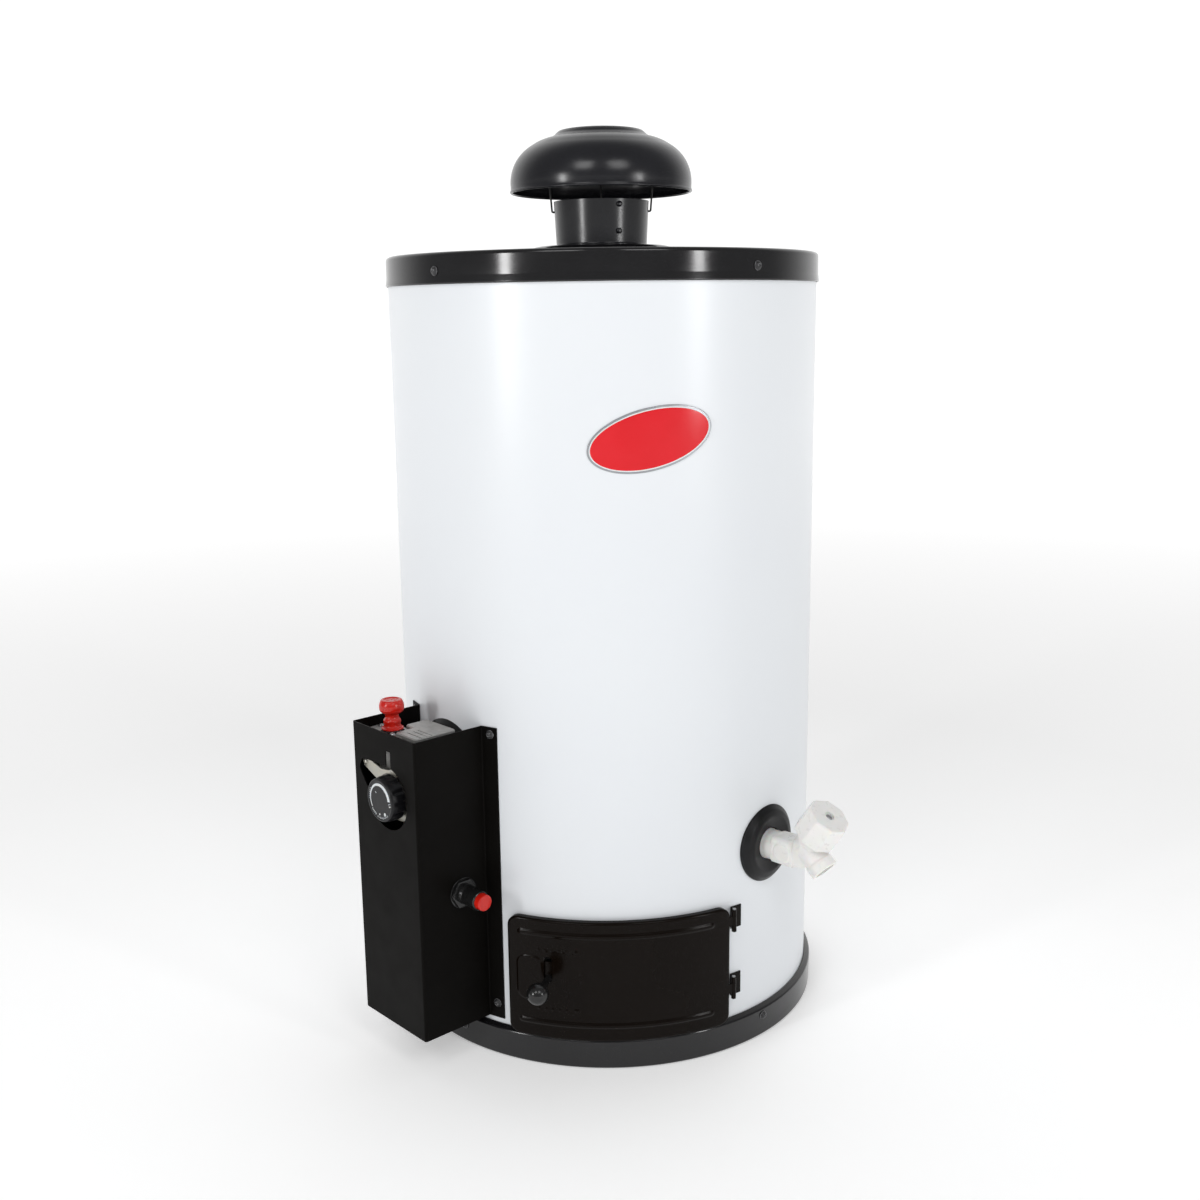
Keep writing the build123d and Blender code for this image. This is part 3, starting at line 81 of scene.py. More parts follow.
def outward(azimuth, out=0.0, side=0.0, z=0.0, lean=0.0):
    """Z points away from the tank and leans up, X is to the right, Y up."""
    right, away = compass(azimuth)
    normal = away * cos(radians(lean)) + UP * sin(radians(lean))
    return placed(right, normal.cross(right), normal, away * out + right * side + UP * z)


def upward(azimuth=0.0, z=0.0, out=0.0, side=0.0):
    """Z points up, X is to the right, Y towards the tank's axis."""
    right, away = compass(azimuth)
    return placed(right, -away, UP, away * out + right * side + UP * z)


def rightward(azimuth, side=0.0, out=0.0, z=0.0):
    """Z points to the right, X towards the tank's axis, Y up."""
    right, away = compass(azimuth)
    return placed(-away, UP, right, away * out + right * side + UP * z)


def on_drum(azimuth, radius):
    """Puts (x, z, lift) on a drum: x is measured straight across, lift out from the drum."""

    def place(x, z, lift):
        turn = radians(azimuth) + asin(x / radius)
        reach = radius + lift
        return Vector((reach * sin(turn), -reach * cos(turn), z))

    return place


# ---- driving sizes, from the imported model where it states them
def span_of(node):
    low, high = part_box(node)
    return low.z / MM, high.z / MM


JACKET_R = 200.0
JACKET_LOW, JACKET_HIGH = span_of("jacket")
BOX_AZ = azimuth_of(joints["dial_turn"]["axis"])
DRAIN_AZ = azimuth_of(joints["drain_turn"]["axis"])
HINGE_AT = Vector(joints["door_swing"]["pos_m"]) / MM
HINGE_AZ = azimuth_of(HINGE_AT)
HINGE_R = hypot(HINGE_AT.x, HINGE_AT.y)
DRAIN_LEAN = degrees(asin(joints["drain_turn"]["axis"][2]))
DRAIN_Z = joints["drain_turn"]["pos_m"][2] / MM
DRAIN_OUT = hypot(*joints["drain_turn"]["pos_m"][:2]) / MM
DIAL_Z = joints["dial_turn"]["pos_m"][2] / MM
DIAL_SIDE = 4.0
BOX_LOW, BOX_HIGH = span_of("control_box")
KNOB_SIDE, KNOB_OUT = -21.0, 243.0
KNOB_LOW = span_of("pilot_knob")[0]
LATCH_AZ = azimuth_of(sum(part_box("latch_knob"), Vector()) / 2)
LATCH_Z = sum(span_of("latch_knob")) / 2
PIEZO_OUT, PIEZO_Z = 222.0, 163.0
VALVE_Z = 270.0
HOT_AZ, HOT_Z = 160.0, 600.0
COLD_AZ, COLD_Z = 200.0, 215.0
BADGE_AZ, BADGE_Z, BADGE_TILT = 11.2, 565.0, 13.0
DOOR_AZ, DOOR_R, DOOR_HALF = 2.7, 207.3, 101.13
DOOR_LOW, DOOR_HIGH = 27.0, 141.5
DOOR_KNUCKLES = [(56.8, 66.2), (122.8, 132.2)]


# ---- flat outlines
def rounded(points, radius=0.0, steps=5, closed=True):
    """Turns the corners of an outline into arcs; a point's third value is its own radius."""
    found, count = [], len(points)
    for i, point in enumerate(points):
        corner = Vector(point[:2])
        wanted = point[2] if len(point) > 2 else radius
        if wanted <= 0 or (not closed and i in (0, count - 1)):
            found.append(tuple(corner))
            continue
        to_last = Vector(points[i - 1][:2]) - corner
        to_next = Vector(points[(i + 1) % count][:2]) - corner
        room = 0.49 * min(to_last.length, to_next.length)
        to_last.normalize()
        to_next.normalize()
        half = acos(max(-1.0, min(1.0, to_last.dot(to_next)))) / 2
        if half > 1.55 or half < 0.01:
            found.append(tuple(corner))
            continue
        reach = min(wanted / tan(half), room)
        size = reach * tan(half)
        centre = corner + (to_last + to_next).normalized() * (size / sin(half))
        first, last = corner + to_last * reach - centre, corner + to_next * reach - centre
        begin = atan2(first.y, first.x)
        turn = (atan2(last.y, last.x) - begin + pi) % (2 * pi) - pi
        for k in range(steps + 1):
            angle = begin + turn * k / steps
            found.append((centre.x + size * cos(angle), centre.y + size * sin(angle)))
    return found


def thickened(path, sheet):
    """Closed outline of a sheet: the path, and the same path moved to its left."""
    other, last = [], len(path) - 1
    for i, point in enumerate(path):
        here = Vector(point)
        before = (here - Vector(path[i - 1])).normalized() if i > 0 else None
        after = (Vector(path[i + 1]) - here).normalized() if i < last else None
        along = ((before or after) + (after or before)).normalized()
        stretch = 1 / max(0.5, along.dot(before or after))
        other.append((here.x - along.y * sheet * stretch, here.y + along.x * sheet * stretch))
    return list(path) + other[::-1]


def circle(radius, count=48, x=0.0, y=0.0):
    steps = [2 * pi * k / count for k in range(count)]
    return [(x + radius * cos(a), y + radius * sin(a)) for a in steps]


def rectangle(width, height, corner=0.0, x=0.0, y=0.0, steps=6):
    w, h = width / 2, height / 2
    return rounded([(x - w, y - h), (x + w, y - h), (x + w, y + h), (x - w, y + h)], corner, steps)


def polygon(apothem, sides, corner=0.0, steps=4):
    reach = apothem / cos(pi / sides)
    turns = [2 * pi * k / sides for k in range(sides)]
    return rounded([(reach * cos(a), reach * sin(a)) for a in turns], corner, steps)


def arc(first, middle, last, count=10):
    """Points of the arc through three points."""
    (ax, ay), (bx, by), (cx, cy) = first, middle, last
    d = 2 * (ax * (by - cy) + bx * (cy - ay) + cx * (ay - by))
    sa, sb, sc = ax * ax + ay * ay, bx * bx + by * by, cx * cx + cy * cy
    ux = (sa * (by - cy) + sb * (cy - ay) + sc * (ay - by)) / d
    uy = (sa * (cx - bx) + sb * (ax - cx) + sc * (bx - ax)) / d
    radius = hypot(ax - ux, ay - uy)
    begin, mid, end = (atan2(y - uy, x - ux) for x, y in (first, middle, last))
    to_mid, to_end = (mid - begin) % (2 * pi), (end - begin) % (2 * pi)
    turn = to_end if to_mid < to_end else to_end - 2 * pi
    angles = [begin + turn * k / count for k in range(count + 1)]
    return [(ux + radius * cos(a), uy + radius * sin(a)) for a in angles]


def smooth_line(points, steps=6):
    """Catmull-Rom curve through points of any dimension."""
    found, last = [], len(points) - 1
    size = len(points[0])
    for i in range(last):
        p0, p1 = points[max(i - 1, 0)], points[i]
        p2, p3 = points[i + 1], points[min(i + 2, last)]
        for k in range(steps):
            t = k / steps
            weights = (2 * t * t - t - t**3, 2 - 5 * t * t + 3 * t**3, t + 4 * t * t - 3 * t**3, t**3 - t * t)
            near = (p0, p1, p2, p3)
            found.append(tuple(0.5 * sum(w * p[n] for w, p in zip(weights, near)) for n in range(size)))
    return found + [tuple(points[-1])]


# ---- solids as (vertices, faces)
def lathe(profile, segments=96, start=0.0, sweep=360.0, closed=True):
    """(radius, height) profile turned about local Z."""
    full = sweep >= 360
    columns = segments if full else segments + 1
    verts, grid, poles = [], [], {}
    for j in range(columns):
        turn = radians(start + sweep * j / segments)
        column = []
        for i, (radius, height) in enumerate(profile):
            if radius < 1e-6 and i in poles:
                column.append(poles[i])
                continue
            if radius < 1e-6:
                poles[i] = len(verts)
            column.append(len(verts))
            verts.append((radius * cos(turn), radius * sin(turn), height))
        grid.append(column)
    faces = []
    rows = len(profile) if closed else len(profile) - 1
    for j in range(segments):
        here, beside = grid[j], grid[(j + 1) % columns]
        for i in range(rows):
            k = (i + 1) % len(profile)
            face = tuple(dict.fromkeys((here[i], beside[i], beside[k], here[k])))
            if len(face) > 2:
                faces.append(face)
    if not full:
        faces += [tuple(grid[0][::-1]), tuple(grid[-1])]
    return verts, faces


def loft(rings, capped=True):
    """Skin over rings that have the same number of points."""
    count = len(rings[0])
    verts = [point for ring in rings for point in ring]
    faces = []
    for k in range(len(rings) - 1):
        low, high = k * count, (k + 1) * count
        for i in range(count):
            n = (i + 1) % count
            faces.append((low + i, low + n, high + n, high + i))
    if capped:
        last = (len(rings) - 1) * count
        faces += [tuple(range(count))[::-1], tuple(range(last, last + count))]
    return verts, faces


def flat(outline, z, scale=1.0):
    return [(x * scale, y * scale, z) for x, y in outline]


def prism(outline, low, high):
    return loft([flat(outline, low), flat(outline, high)])


def rod(place, radius, low, high, count=64):
    return moved(place, prism(circle(radius, count), low, high))


def bent(points, radius, steps=6):
    """Path in space whose corners are arcs."""
    points = [Vector(p) for p in points]
    found = [points[0]]
    for i in range(1, len(points) - 1):
        corner = points[i]
        to_last, to_next = points[i - 1] - corner, points[i + 1] - corner
        room = 0.49 * min(to_last.length, to_next.length)
        to_last.normalize()
        to_next.normalize()
        half = to_last.angle(to_next) / 2
        reach = min(radius / tan(half), room)
        centre = corner + (to_last + to_next).normalized() * (reach * tan(half) / sin(half))
        first, last = corner + to_last * reach - centre, corner + to_next * reach - centre
        turn = first.angle(last)
        for k in range(steps + 1):
            a, b = sin((1 - k / steps) * turn), sin(k / steps * turn)
            found.append(centre + (first * a + last * b) / sin(turn))
    return found + [points[-1]]


def tube(points, radius, sides=16):
    """Round bar along a path."""
    points = [Vector(p) for p in points]
    last = len(points) - 1
    along = (points[1] - points[0]).normalized()
    across = along.orthogonal().normalized()
    rings = []
    for i, point in enumerate(points):
        step = (points[min(i + 1, last)] - points[max(i - 1, 0)]).normalized()
        across = (across - step * across.dot(step)).normalized()
        beside = step.cross(across)
        turns = [2 * pi * k / sides for k in range(sides)]
        rings.append([tuple(point + (across * cos(a) + beside * sin(a)) * radius) for a in turns])
    return loft(rings)


def moved(place, solid):
    verts, faces = solid
    return [tuple(place @ Vector(v)) for v in verts], faces


def merged(*solids):
    verts, faces = [], []
    for part_verts, part_faces in solids:
        start = len(verts)
        verts += part_verts
        faces += [tuple(i + start for i in face) for face in part_faces]
    return verts, faces


# ---- meshes and pieces
def add_object(name, data):
    obj = bpy.data.objects.new(name, data)
    bpy.context.scene.collection.objects.link(obj)
    return obj


def mesh_object(name, solid):
    verts, faces = solid
    mesh = bpy.data.meshes.new(name)
    mesh.from_pydata([Vector(v) * MM for v in verts], [], faces)
    mesh.validate()
    work = bmesh.new()
    work.from_mesh(mesh)
    bmesh.ops.remove_doubles(work, verts=work.verts, dist=1e-7)
    bmesh.ops.recalc_face_normals(work, faces=work.faces)
    work.to_mesh(mesh)
    work.free()
    return add_object(name, mesh)


def apply_modifiers(obj):
    graph = bpy.context.evaluated_depsgraph_get()
    mesh = bpy.data.meshes.new_from_object(obj.evaluated_get(graph))
    obj.modifiers.clear()
    old, obj.data = obj.data, mesh
    bpy.data.meshes.remove(old)


def cut(obj, solid):
    """Takes a solid out of a mesh."""
    cutter = mesh_object("cutter", solid)
    change = obj.modifiers.new("cut", "BOOLEAN")
    change.operation = "DIFFERENCE"
    change.solver = "EXACT"
    change.object = cutter
    apply_modifiers(obj)
    mesh = cutter.data
    bpy.data.objects.remove(cutter)
    bpy.data.meshes.remove(mesh)


def shade(mesh, angle):
    """Smooth faces, with a hard line where two faces meet at more than the angle."""
    work = bmesh.new()
    work.from_mesh(mesh)
    for face in work.faces:
        face.smooth = True
    for edge in work.edges:
        edge.smooth = len(edge.link_faces) == 2 and edge.calc_face_angle(0.0) < radians(angle)
    work.to_mesh(mesh)
    work.free()


def soften_edges(obj, width, angle):
    """Bevels the edges where two faces meet at more than the angle."""
    change = obj.modifiers.new("edges", "BEVEL")
    change.width = width * MM
    change.segments = 2
    change.limit_method = "ANGLE"
    change.angle_limit = radians(angle)


def piece(name, solid, slot, body="heater", stands_for=(), cuts=(), bevel=0.0, sharp=34.0, voxel=0.0):
    """A finished piece: cut, softened, shaded, riding on its body."""
    obj = mesh_object(name, solid)
    if voxel:
        change = obj.modifiers.new("mould", "REMESH")
        change.mode = "VOXEL"
        change.voxel_size = voxel * MM
        soften = obj.modifiers.new("soften", "SMOOTH")
        soften.iterations = 6
        soften.factor = 0.5
        apply_modifiers(obj)
    for solid_cut in cuts:
        cut(obj, solid_cut)
    if bevel:
        soften_edges(obj, bevel, sharp)
        apply_modifiers(obj)
    shade(obj.data, sharp)
    even = obj.modifiers.new("even", "WEIGHTED_NORMAL")
    even.keep_sharp = True
    even.weight = 100
    obj.data.materials.clear()
    obj.data.materials.append(finishes[slot])
    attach(obj, body)
    if stands_for:
        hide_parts(*stands_for)
    return obj


# ---- finishes
class Finish:
    """Node material whose patterns are fixed in the row frame."""

    def __init__(self, name):
        self.material = bpy.data.materials.new(name)
        self.material.use_nodes = True
        self.tree = self.material.node_tree
        self.shader = self.tree.nodes["Principled BSDF"]
        self.place = self.tree.nodes.new("ShaderNodeTexCoord").outputs["Object"]
        self.relief = None

    def fill(self, node, inputs):
        """Each input is a constant or another node's socket."""
        for name, value in inputs.items():
            if isinstance(value, bpy.types.NodeSocket):
                self.tree.links.new(value, node.inputs[name])
            else:
                node.inputs[name].default_value = value
        return node

    def add(self, kind, inputs):
        return self.fill(self.tree.nodes.new("ShaderNode" + kind), inputs)

    def noise(self, size_mm, detail=3.0, stretch=(1, 1, 1)):
        """Noise whose features are about that size."""
        where = self.place
        if stretch != (1, 1, 1):
            where = self.add("Mapping", {"Scale": stretch, "Vector": where}).outputs["Vector"]
        inputs = {"Scale": 1 / (size_mm * MM), "Detail": detail, "Vector": where}
        return self.add("TexNoise", inputs).outputs["Fac"]

    def remap(self, value, low, high, to_low, to_high):
        inputs = {"From Min": low, "From Max": high, "To Min": to_low, "To Max": to_high, "Value": value}
        return self.add("MapRange", inputs).outputs["Result"]

    def product(self, first, second):
        node = self.add("Math", {0: first, 1: second})
        node.operation = "MULTIPLY"
        return node.outputs["Value"]

    def mix(self, factor, first, second, kind="RGBA"):
        """Colours or numbers, each either a constant or a socket."""
        node = self.tree.nodes.new("ShaderNodeMix")
        node.data_type = kind
        for name, value in (("Factor", factor), ("A", first), ("B", second)):
            socket = next(s for s in node.inputs if s.enabled and s.name == name)
            if isinstance(value, bpy.types.NodeSocket):
                self.tree.links.new(value, socket)
            else:
                socket.default_value = (*value, 1) if kind == "RGBA" else value
        return next(s for s in node.outputs if s.enabled)

    def bump(self, height, depth_mm):
        node = self.add("Bump", {"Distance": depth_mm * MM, "Height": height})
        if self.relief is not None:
            self.fill(node, {"Normal": self.relief})
        self.relief = node.outputs["Normal"]

    def edges(self, radius_mm):
        """1 along sharp edges and 0 on flat faces."""
        soft = self.add("Bevel", {"Radius": radius_mm * MM})
        soft.samples = 4
        plain_normal = self.add("NewGeometry", {}).outputs["Normal"]
        dot = self.add("VectorMath", {0: soft.outputs["Normal"], 1: plain_normal})
        dot.operation = "DOT_PRODUCT"
        return self.remap(dot.outputs["Value"], 0.985, 0.9, 0.0, 1.0)


finishes = {}


def finish(
    name,
    color,
    second,
    rough,
    metal=0.0,
    patch=60.0,
    grain=1.0,
    depth=0.01,
    wave=None,
    edge_wear_and_sheen=None,
    stretch=(1, 1, 1),
    specular=0.5,
    soft=0.0,
    specks=None,
):
    """A coated, plated, cast or moulded surface with uneven colour, gloss and relief.

    patch is the size of the colour patches, grain and depth the fine relief, wave a slow
    relief, the edge wear and sheen argument the colour, gloss and share at sharp edges, which is
    worn paint and partly a painted edge highlight, soft the light that sinks in.
    """
    f = Finish(name)
    tone = f.remap(f.noise(patch, 4.0), 0.3, 0.7, 0.0, 1.0)
    base = f.mix(tone, color, second)
    if specks:
        dot_size, dot_color = specks
        base = f.mix(f.remap(f.noise(dot_size, 1.0), 0.68, 0.74, 0.0, 1.0), base, dot_color)
    gloss = f.remap(f.noise(patch * 0.35, 5.0, stretch), 0.25, 0.75, *rough)
    # sharp edges get a lighter, glossier colour in patches: worn paint, and on the black screws also a painted
    # edge highlight
    if edge_wear_and_sheen:
        bare_and_sheen_color, bare_and_sheen_gloss, share = edge_wear_and_sheen
        scuff_and_sheen_share = f.remap(f.noise(3.0, 4.0), 0.35, 0.62, 0.0, share)
        wear_and_sheen_mask = f.product(f.edges(0.5), scuff_and_sheen_share)
        base = f.mix(wear_and_sheen_mask, base, bare_and_sheen_color)
        gloss = f.mix(wear_and_sheen_mask, gloss, bare_and_sheen_gloss, "FLOAT")
    if wave:
        f.bump(f.noise(wave[0], 1.0), wave[1])
    f.bump(f.noise(grain, 3.0, stretch), depth)
    constants = {"Metallic": metal, "Specular IOR Level": specular}
    if soft:
        constants["Subsurface Weight"] = soft
        constants["Subsurface Radius"] = (1.0, 0.6, 0.4)
        constants["Subsurface Scale"] = 0.002
    f.fill(f.shader, {"Base Color": base, "Roughness": gloss, "Normal": f.relief, **constants})
    finishes[name] = f.material


finish(
    "white_enamel", (0.80, 0.825, 0.85), (0.79, 0.815, 0.845), (0.28, 0.34),
    patch=140, grain=2.2, depth=0.004,
)
finish(
    "black_enamel", (0.0065, 0.0063, 0.0070), (0.009, 0.0088, 0.0098), (0.10, 0.18),
    patch=90, grain=1.8, depth=0.006, wave=(30, 0.03), specular=0.5, specks=(0.9, (0.02, 0.02, 0.023)),
)
# the light grey along the screw heads' edges is partly wear and partly a painted edge highlight
finish(
    "black_screws", (0.012, 0.012, 0.013), (0.03, 0.03, 0.032), (0.24, 0.42),
    patch=5, grain=0.6, depth=0.01, edge_wear_and_sheen=((0.62, 0.62, 0.64), 0.22, 1.0),
)
finish(
    "hood_black", (0.0062, 0.0064, 0.0088), (0.0095, 0.0098, 0.0132), (0.2, 0.28),
    patch=50, grain=1.5, depth=0.006, wave=(24, 0.05), specks=(0.8, (0.028, 0.028, 0.032)),
)
finish(
    "steel", (0.46, 0.46, 0.47), (0.33, 0.33, 0.34), (0.22, 0.4), metal=1.0,
    patch=4, grain=0.4, depth=0.006,
)
finish(
    "dark_wire", (0.02, 0.02, 0.022), (0.05, 0.048, 0.046), (0.3, 0.5), metal=0.6,
    patch=6, grain=0.5, depth=0.008,
)
finish(
    "tank_steel", (0.06, 0.068, 0.10), (0.045, 0.05, 0.075), (0.35, 0.55),
    patch=70, grain=1.6, depth=0.02, wave=(40, 0.2), specks=(3.0, (0.12, 0.06, 0.03)),
)
finish(
    "bare_sheet", (0.42, 0.42, 0.42), (0.26, 0.25, 0.24), (0.3, 0.5), metal=1.0,
    patch=25, grain=1.2, depth=0.01, stretch=(1, 1, 6),
)
finish(
    "magnesium", (0.52, 0.52, 0.5), (0.36, 0.36, 0.35), (0.45, 0.65), metal=0.9,
    patch=10, grain=0.8, depth=0.03,
)
finish(
    "zinc_pipe", (0.5, 0.51, 0.52), (0.36, 0.37, 0.385), (0.28, 0.45), metal=1.0,
    patch=7, grain=0.9, depth=0.015, specks=(2.0, (0.6, 0.6, 0.6)),
)
finish(
    "glass_wool", (0.72, 0.6, 0.28), (0.55, 0.42, 0.16), (0.8, 0.95),
    patch=18, grain=1.4, depth=0.9, wave=(25, 2.0), stretch=(1, 1, 4), specular=0.2,
)
finish(
    "escutcheon_black", (0.007, 0.007, 0.0075), (0.011, 0.011, 0.012), (0.32, 0.44),
    patch=14, grain=0.5, depth=0.012, specular=0.2,
)
finish(
    "box_black", (0.0034, 0.0030, 0.0026), (0.0046, 0.0041, 0.0036), (0.34, 0.48),
    patch=60, grain=0.55, depth=0.012, wave=(55, 0.06), specular=0.04,
    edge_wear_and_sheen=((0.04, 0.04, 0.04), 0.35, 0.45),
)
finish(
    "cast_alloy", (0.46, 0.455, 0.44), (0.36, 0.355, 0.345), (0.4, 0.6), metal=0.45,
    patch=9, grain=0.7, depth=0.05, edge_wear_and_sheen=((0.6, 0.6, 0.6), 0.3, 0.6),
)
finish(
    "brass", (0.68, 0.46, 0.16), (0.5, 0.32, 0.1), (0.2, 0.38), metal=1.0,
    patch=6, grain=0.5, depth=0.006,
)
finish(
    "copper", (0.66, 0.3, 0.17), (0.42, 0.19, 0.11), (0.25, 0.45), metal=1.0,
    patch=12, grain=0.8, depth=0.008,
)
finish(
    "zinc_plate", (0.50, 0.47, 0.38), (0.42, 0.415, 0.39), (0.24, 0.4), metal=0.85,
    patch=8, grain=0.5, depth=0.006, edge_wear_and_sheen=((0.7, 0.7, 0.7), 0.2, 0.6),
)
finish(
    "dial_black", (0.006, 0.006, 0.007), (0.009, 0.009, 0.0105), (0.3, 0.42),
    patch=12, grain=0.35, depth=0.01, specular=0.28,
)
finish(
    "red_plastic", (0.64, 0.013, 0.005), (0.54, 0.009, 0.004), (0.16, 0.28),
    patch=9, grain=1.4, depth=0.012, soft=0.12,
)
finish(
    "lead_rubber", (0.03, 0.03, 0.032), (0.045, 0.045, 0.046), (0.5, 0.65),
    patch=15, grain=0.8, depth=0.02,
)
finish(
    "aluminium_tube", (0.62, 0.62, 0.63), (0.5, 0.5, 0.51), (0.25, 0.4), metal=1.0,
    patch=12, grain=0.7, depth=0.008, stretch=(1, 1, 5),
)
finish(
    "burner_iron", (0.06, 0.055, 0.052), (0.12, 0.07, 0.045), (0.55, 0.75), metal=0.5,
    patch=14, grain=1.0, depth=0.06,
)
finish(
    "ceramic", (0.8, 0.78, 0.72), (0.7, 0.67, 0.6), (0.25, 0.4),
    patch=6, grain=0.8, depth=0.008, soft=0.1,
)
finish(
    "door_black", (0.0042, 0.0024, 0.0014), (0.0052, 0.0032, 0.0020), (0.15, 0.22),
    patch=55, grain=1.6, depth=0.008, wave=(26, 0.05), specular=0.1,
    specks=(0.9, (0.012, 0.010, 0.009)),
)
finish(
    "knob_black", (0.008, 0.008, 0.008), (0.012, 0.012, 0.012), (0.14, 0.26),
    patch=8, grain=1.2, depth=0.01, specular=0.5,
)
finish(
    "white_plastic", (0.89, 0.885, 0.865), (0.86, 0.852, 0.825), (0.24, 0.36),
    patch=16, grain=0.7, depth=0.012, wave=(9, 0.05), soft=0.35,
)
finish(
    "seal_rubber", (0.02, 0.02, 0.02), (0.035, 0.034, 0.033), (0.6, 0.75),
    patch=6, grain=0.5, depth=0.02,
)
finish(
    "badge_silver", (0.40, 0.41, 0.43), (0.32, 0.33, 0.345), (0.24, 0.36), metal=0.85,
    patch=20, grain=0.5, depth=0.006,
)
finish(
    "badge_red", (0.72, 0.006, 0.014), (0.68, 0.003, 0.009), (0.16, 0.24),
    patch=30, grain=2.5, depth=0.006, specular=0.35,
)

for node_name, node in nodes.items():
    node.data.materials.clear()
    node.data.materials.append(finishes[node_slots[node_name]])

# ---- fasteners
CROSS = [(-0.55, -2.3), (0.55, -2.3), (0.55, -0.55), (2.3, -0.55), (2.3, 0.55), (0.55, 0.55)]
CROSS += [(0.55, 2.3), (-0.55, 2.3), (-0.55, 0.55), (-2.3, 0.55), (-2.3, -0.55), (-0.55, -0.55)]


def screw_parts(radius=4.0, height=2.6, flange=0.7):
    """Head of a cross-recess screw with a thin flange, and the recess to cut from it."""
    dome = arc((radius * 0.86, flange + 0.25), (radius * 0.62, height * 0.86), (0.0, height), 8)
    head = [(0.0, -0.6), (radius * 0.7, -0.6), (radius * 0.7, 0.0), (radius * 0.97, 0.0)]
    head += [(radius, 0.2), (radius, flange - 0.15), (radius * 0.95, flange), *dome]
    depth = height * 0.62
    recess = loft([flat(CROSS, height - depth, radius / 4 * 0.5), flat(CROSS, height + 0.6, radius / 4)])
    return lathe(head, 40), recess


def screws(name, slot, places, stands_for, radius=4.0, height=2.6, flange=0.7):
    """One piece with a screw at each place, each turned a little differently."""
    head, recess = screw_parts(radius, height, flange)
    turned = [place @ Matrix.Rotation(radians(23 + 37 * i), 4, "Z") for i, place in enumerate(places)]
    solids = merged(*[moved(place, head) for place in turned])
    cuts = merged(*[moved(place, recess) for place in turned])
    return piece(name, solids, slot, stands_for=stands_for, cuts=[cuts], sharp=40)


COVER_SCREWS = [(-44.3, 703.5), (40.0, 704.5), (136.0, 704.0), (-136.0, 704.0)]
PAN_SCREWS = [(-41.4, 17.5), (44.0, 20.0), (136.0, 19.0), (-136.0, 19.0)]
BOX_SCREWS = [(BOX_AZ + side * 16.3, z) for side in (-1, 1) for z in (48.5, 305.5)]
screws(
    "cover_screw_heads", "black_screws", [outward(a, 201.6, z=z) for a, z in COVER_SCREWS],
    ["top_cover_screws"],
)
screws(
    "pan_screw_heads", "black_screws", [outward(a, 205.9, z=z) for a, z in PAN_SCREWS],
    ["base_pan_screws"],
)
screws(
    "box_screw_heads", "black_screws", [outward(a, 201.25, z=z) for a, z in BOX_SCREWS],
    ["control_box_screws"],
)

# ---- base pan
pan_path = rounded(
    [
        (60.0, 8.0), (186.0, 8.0, 2.5), (190.0, 0.0, 2.5),
        (205.5, 0.0, 2.0), (205.9, 26.6, 2.5), (200.7, 29.1),
    ],
    steps=6,
    closed=False,
)
air_slot = prism(rectangle(26, 9, 3.5), 0, 16)
slots_cut = merged(*[moved(outward(azimuth, 196, z=16.0), air_slot) for azimuth in range(120, 241, 20)])
piece(
    "base_pan_pressing", lathe(thickened(pan_path, 1.0), 360), "black_enamel",
    stands_for=["base_pan"], cuts=[slots_cut],
)

# ---- jacket
JACKET_SHEET = 0.8
jacket_profile = [(JACKET_R - JACKET_SHEET, JACKET_LOW), (JACKET_R, JACKET_LOW)]
jacket_profile += [(JACKET_R, JACKET_HIGH), (JACKET_R - JACKET_SHEET, JACKET_HIGH)]
PORTS = [(BOX_AZ, 2.0, VALVE_Z), (DRAIN_AZ, 0.0, DRAIN_Z), (HOT_AZ, 0.0, HOT_Z), (COLD_AZ, 0.0, COLD_Z)]
openings = [
    moved(outward(DOOR_AZ, 150, z=84), prism(rectangle(162, 100, 8), 0, 60)),
    moved(outward(BOX_AZ, 150, z=82), prism(rectangle(60, 96, 6), 0, 60)),
]
openings += [rod(outward(a, 150, side, z), 18.5, 0, 60) for a, side, z in PORTS]
piece(
    "jacket_skin", lathe(jacket_profile, 720), "white_enamel",
    stands_for=["jacket"], cuts=[merged(*openings)],
)
seam_profile = rounded([(199.9, 30.1), (201.0, 30.1), (201.0, 690.5), (199.9, 690.5)], 0.3, 2)
piece(
    "jacket_lock_seam", lathe(seam_profile, 12, 90 - 1.72, 3.44), "white_enamel",
    bevel=0.35, sharp=50,
)

# ---- lid
cover_path = rounded(
    [
        (40.5, 728.0), (62.0, 728.0, 14), (78.0, 719.0, 14), (201.2, 719.0, 3.6),
        (201.5, 699.5, 8), (202.3, 693.6, 1), (201.9, 692.5),
    ],
    steps=8,
    closed=False,
)
piece(
    "lid_pressing", lathe(thickened(cover_path[::-1], 0.9), 360), "black_enamel",
    stands_for=["top_cover"],
)

# ---- flue collar
collar_path = rounded([(47.5, 728.85), (42.3, 728.85, 1.5), (44.3, 768.5)], steps=5, closed=False)
collar = lathe(thickened(collar_path, 0.8), 180)
lap_profile = [(42.2, 730.2), (43.25, 730.2), (45.3, 768.0), (44.1, 768.0)]
lap = lathe(rounded(lap_profile, 0.25, 2), 16, 13.5 - 90, 13.5)
WIRE_AZIMUTHS = [-90.0, 90.0, 180.0]
wire_holes = [rod(outward(a, 38, z=759.5), 1.5, 0, 12, 20) for a in WIRE_AZIMUTHS]
piece(
    "collar_sheet", merged(collar, lap), "hood_black",
    stands_for=["flue_collar"], cuts=[merged(*wire_holes)], bevel=0.12,
)
rivet_profile = [(0.0, -0.6), (2.6, -0.6), (2.6, 0.3), *arc((2.5, 0.55), (1.7, 1.1), (0.0, 1.3), 6)]
rivet_places = [outward(21.7, 45.0, z=763.5, lean=-3), outward(21.7, 43.9, z=740.0, lean=-3)]
piece(
    "collar_rivet_heads", merged(*[moved(p, lathe(rivet_profile, 32)) for p in rivet_places]), "hood_black",
    stands_for=["collar_rivets"],
)

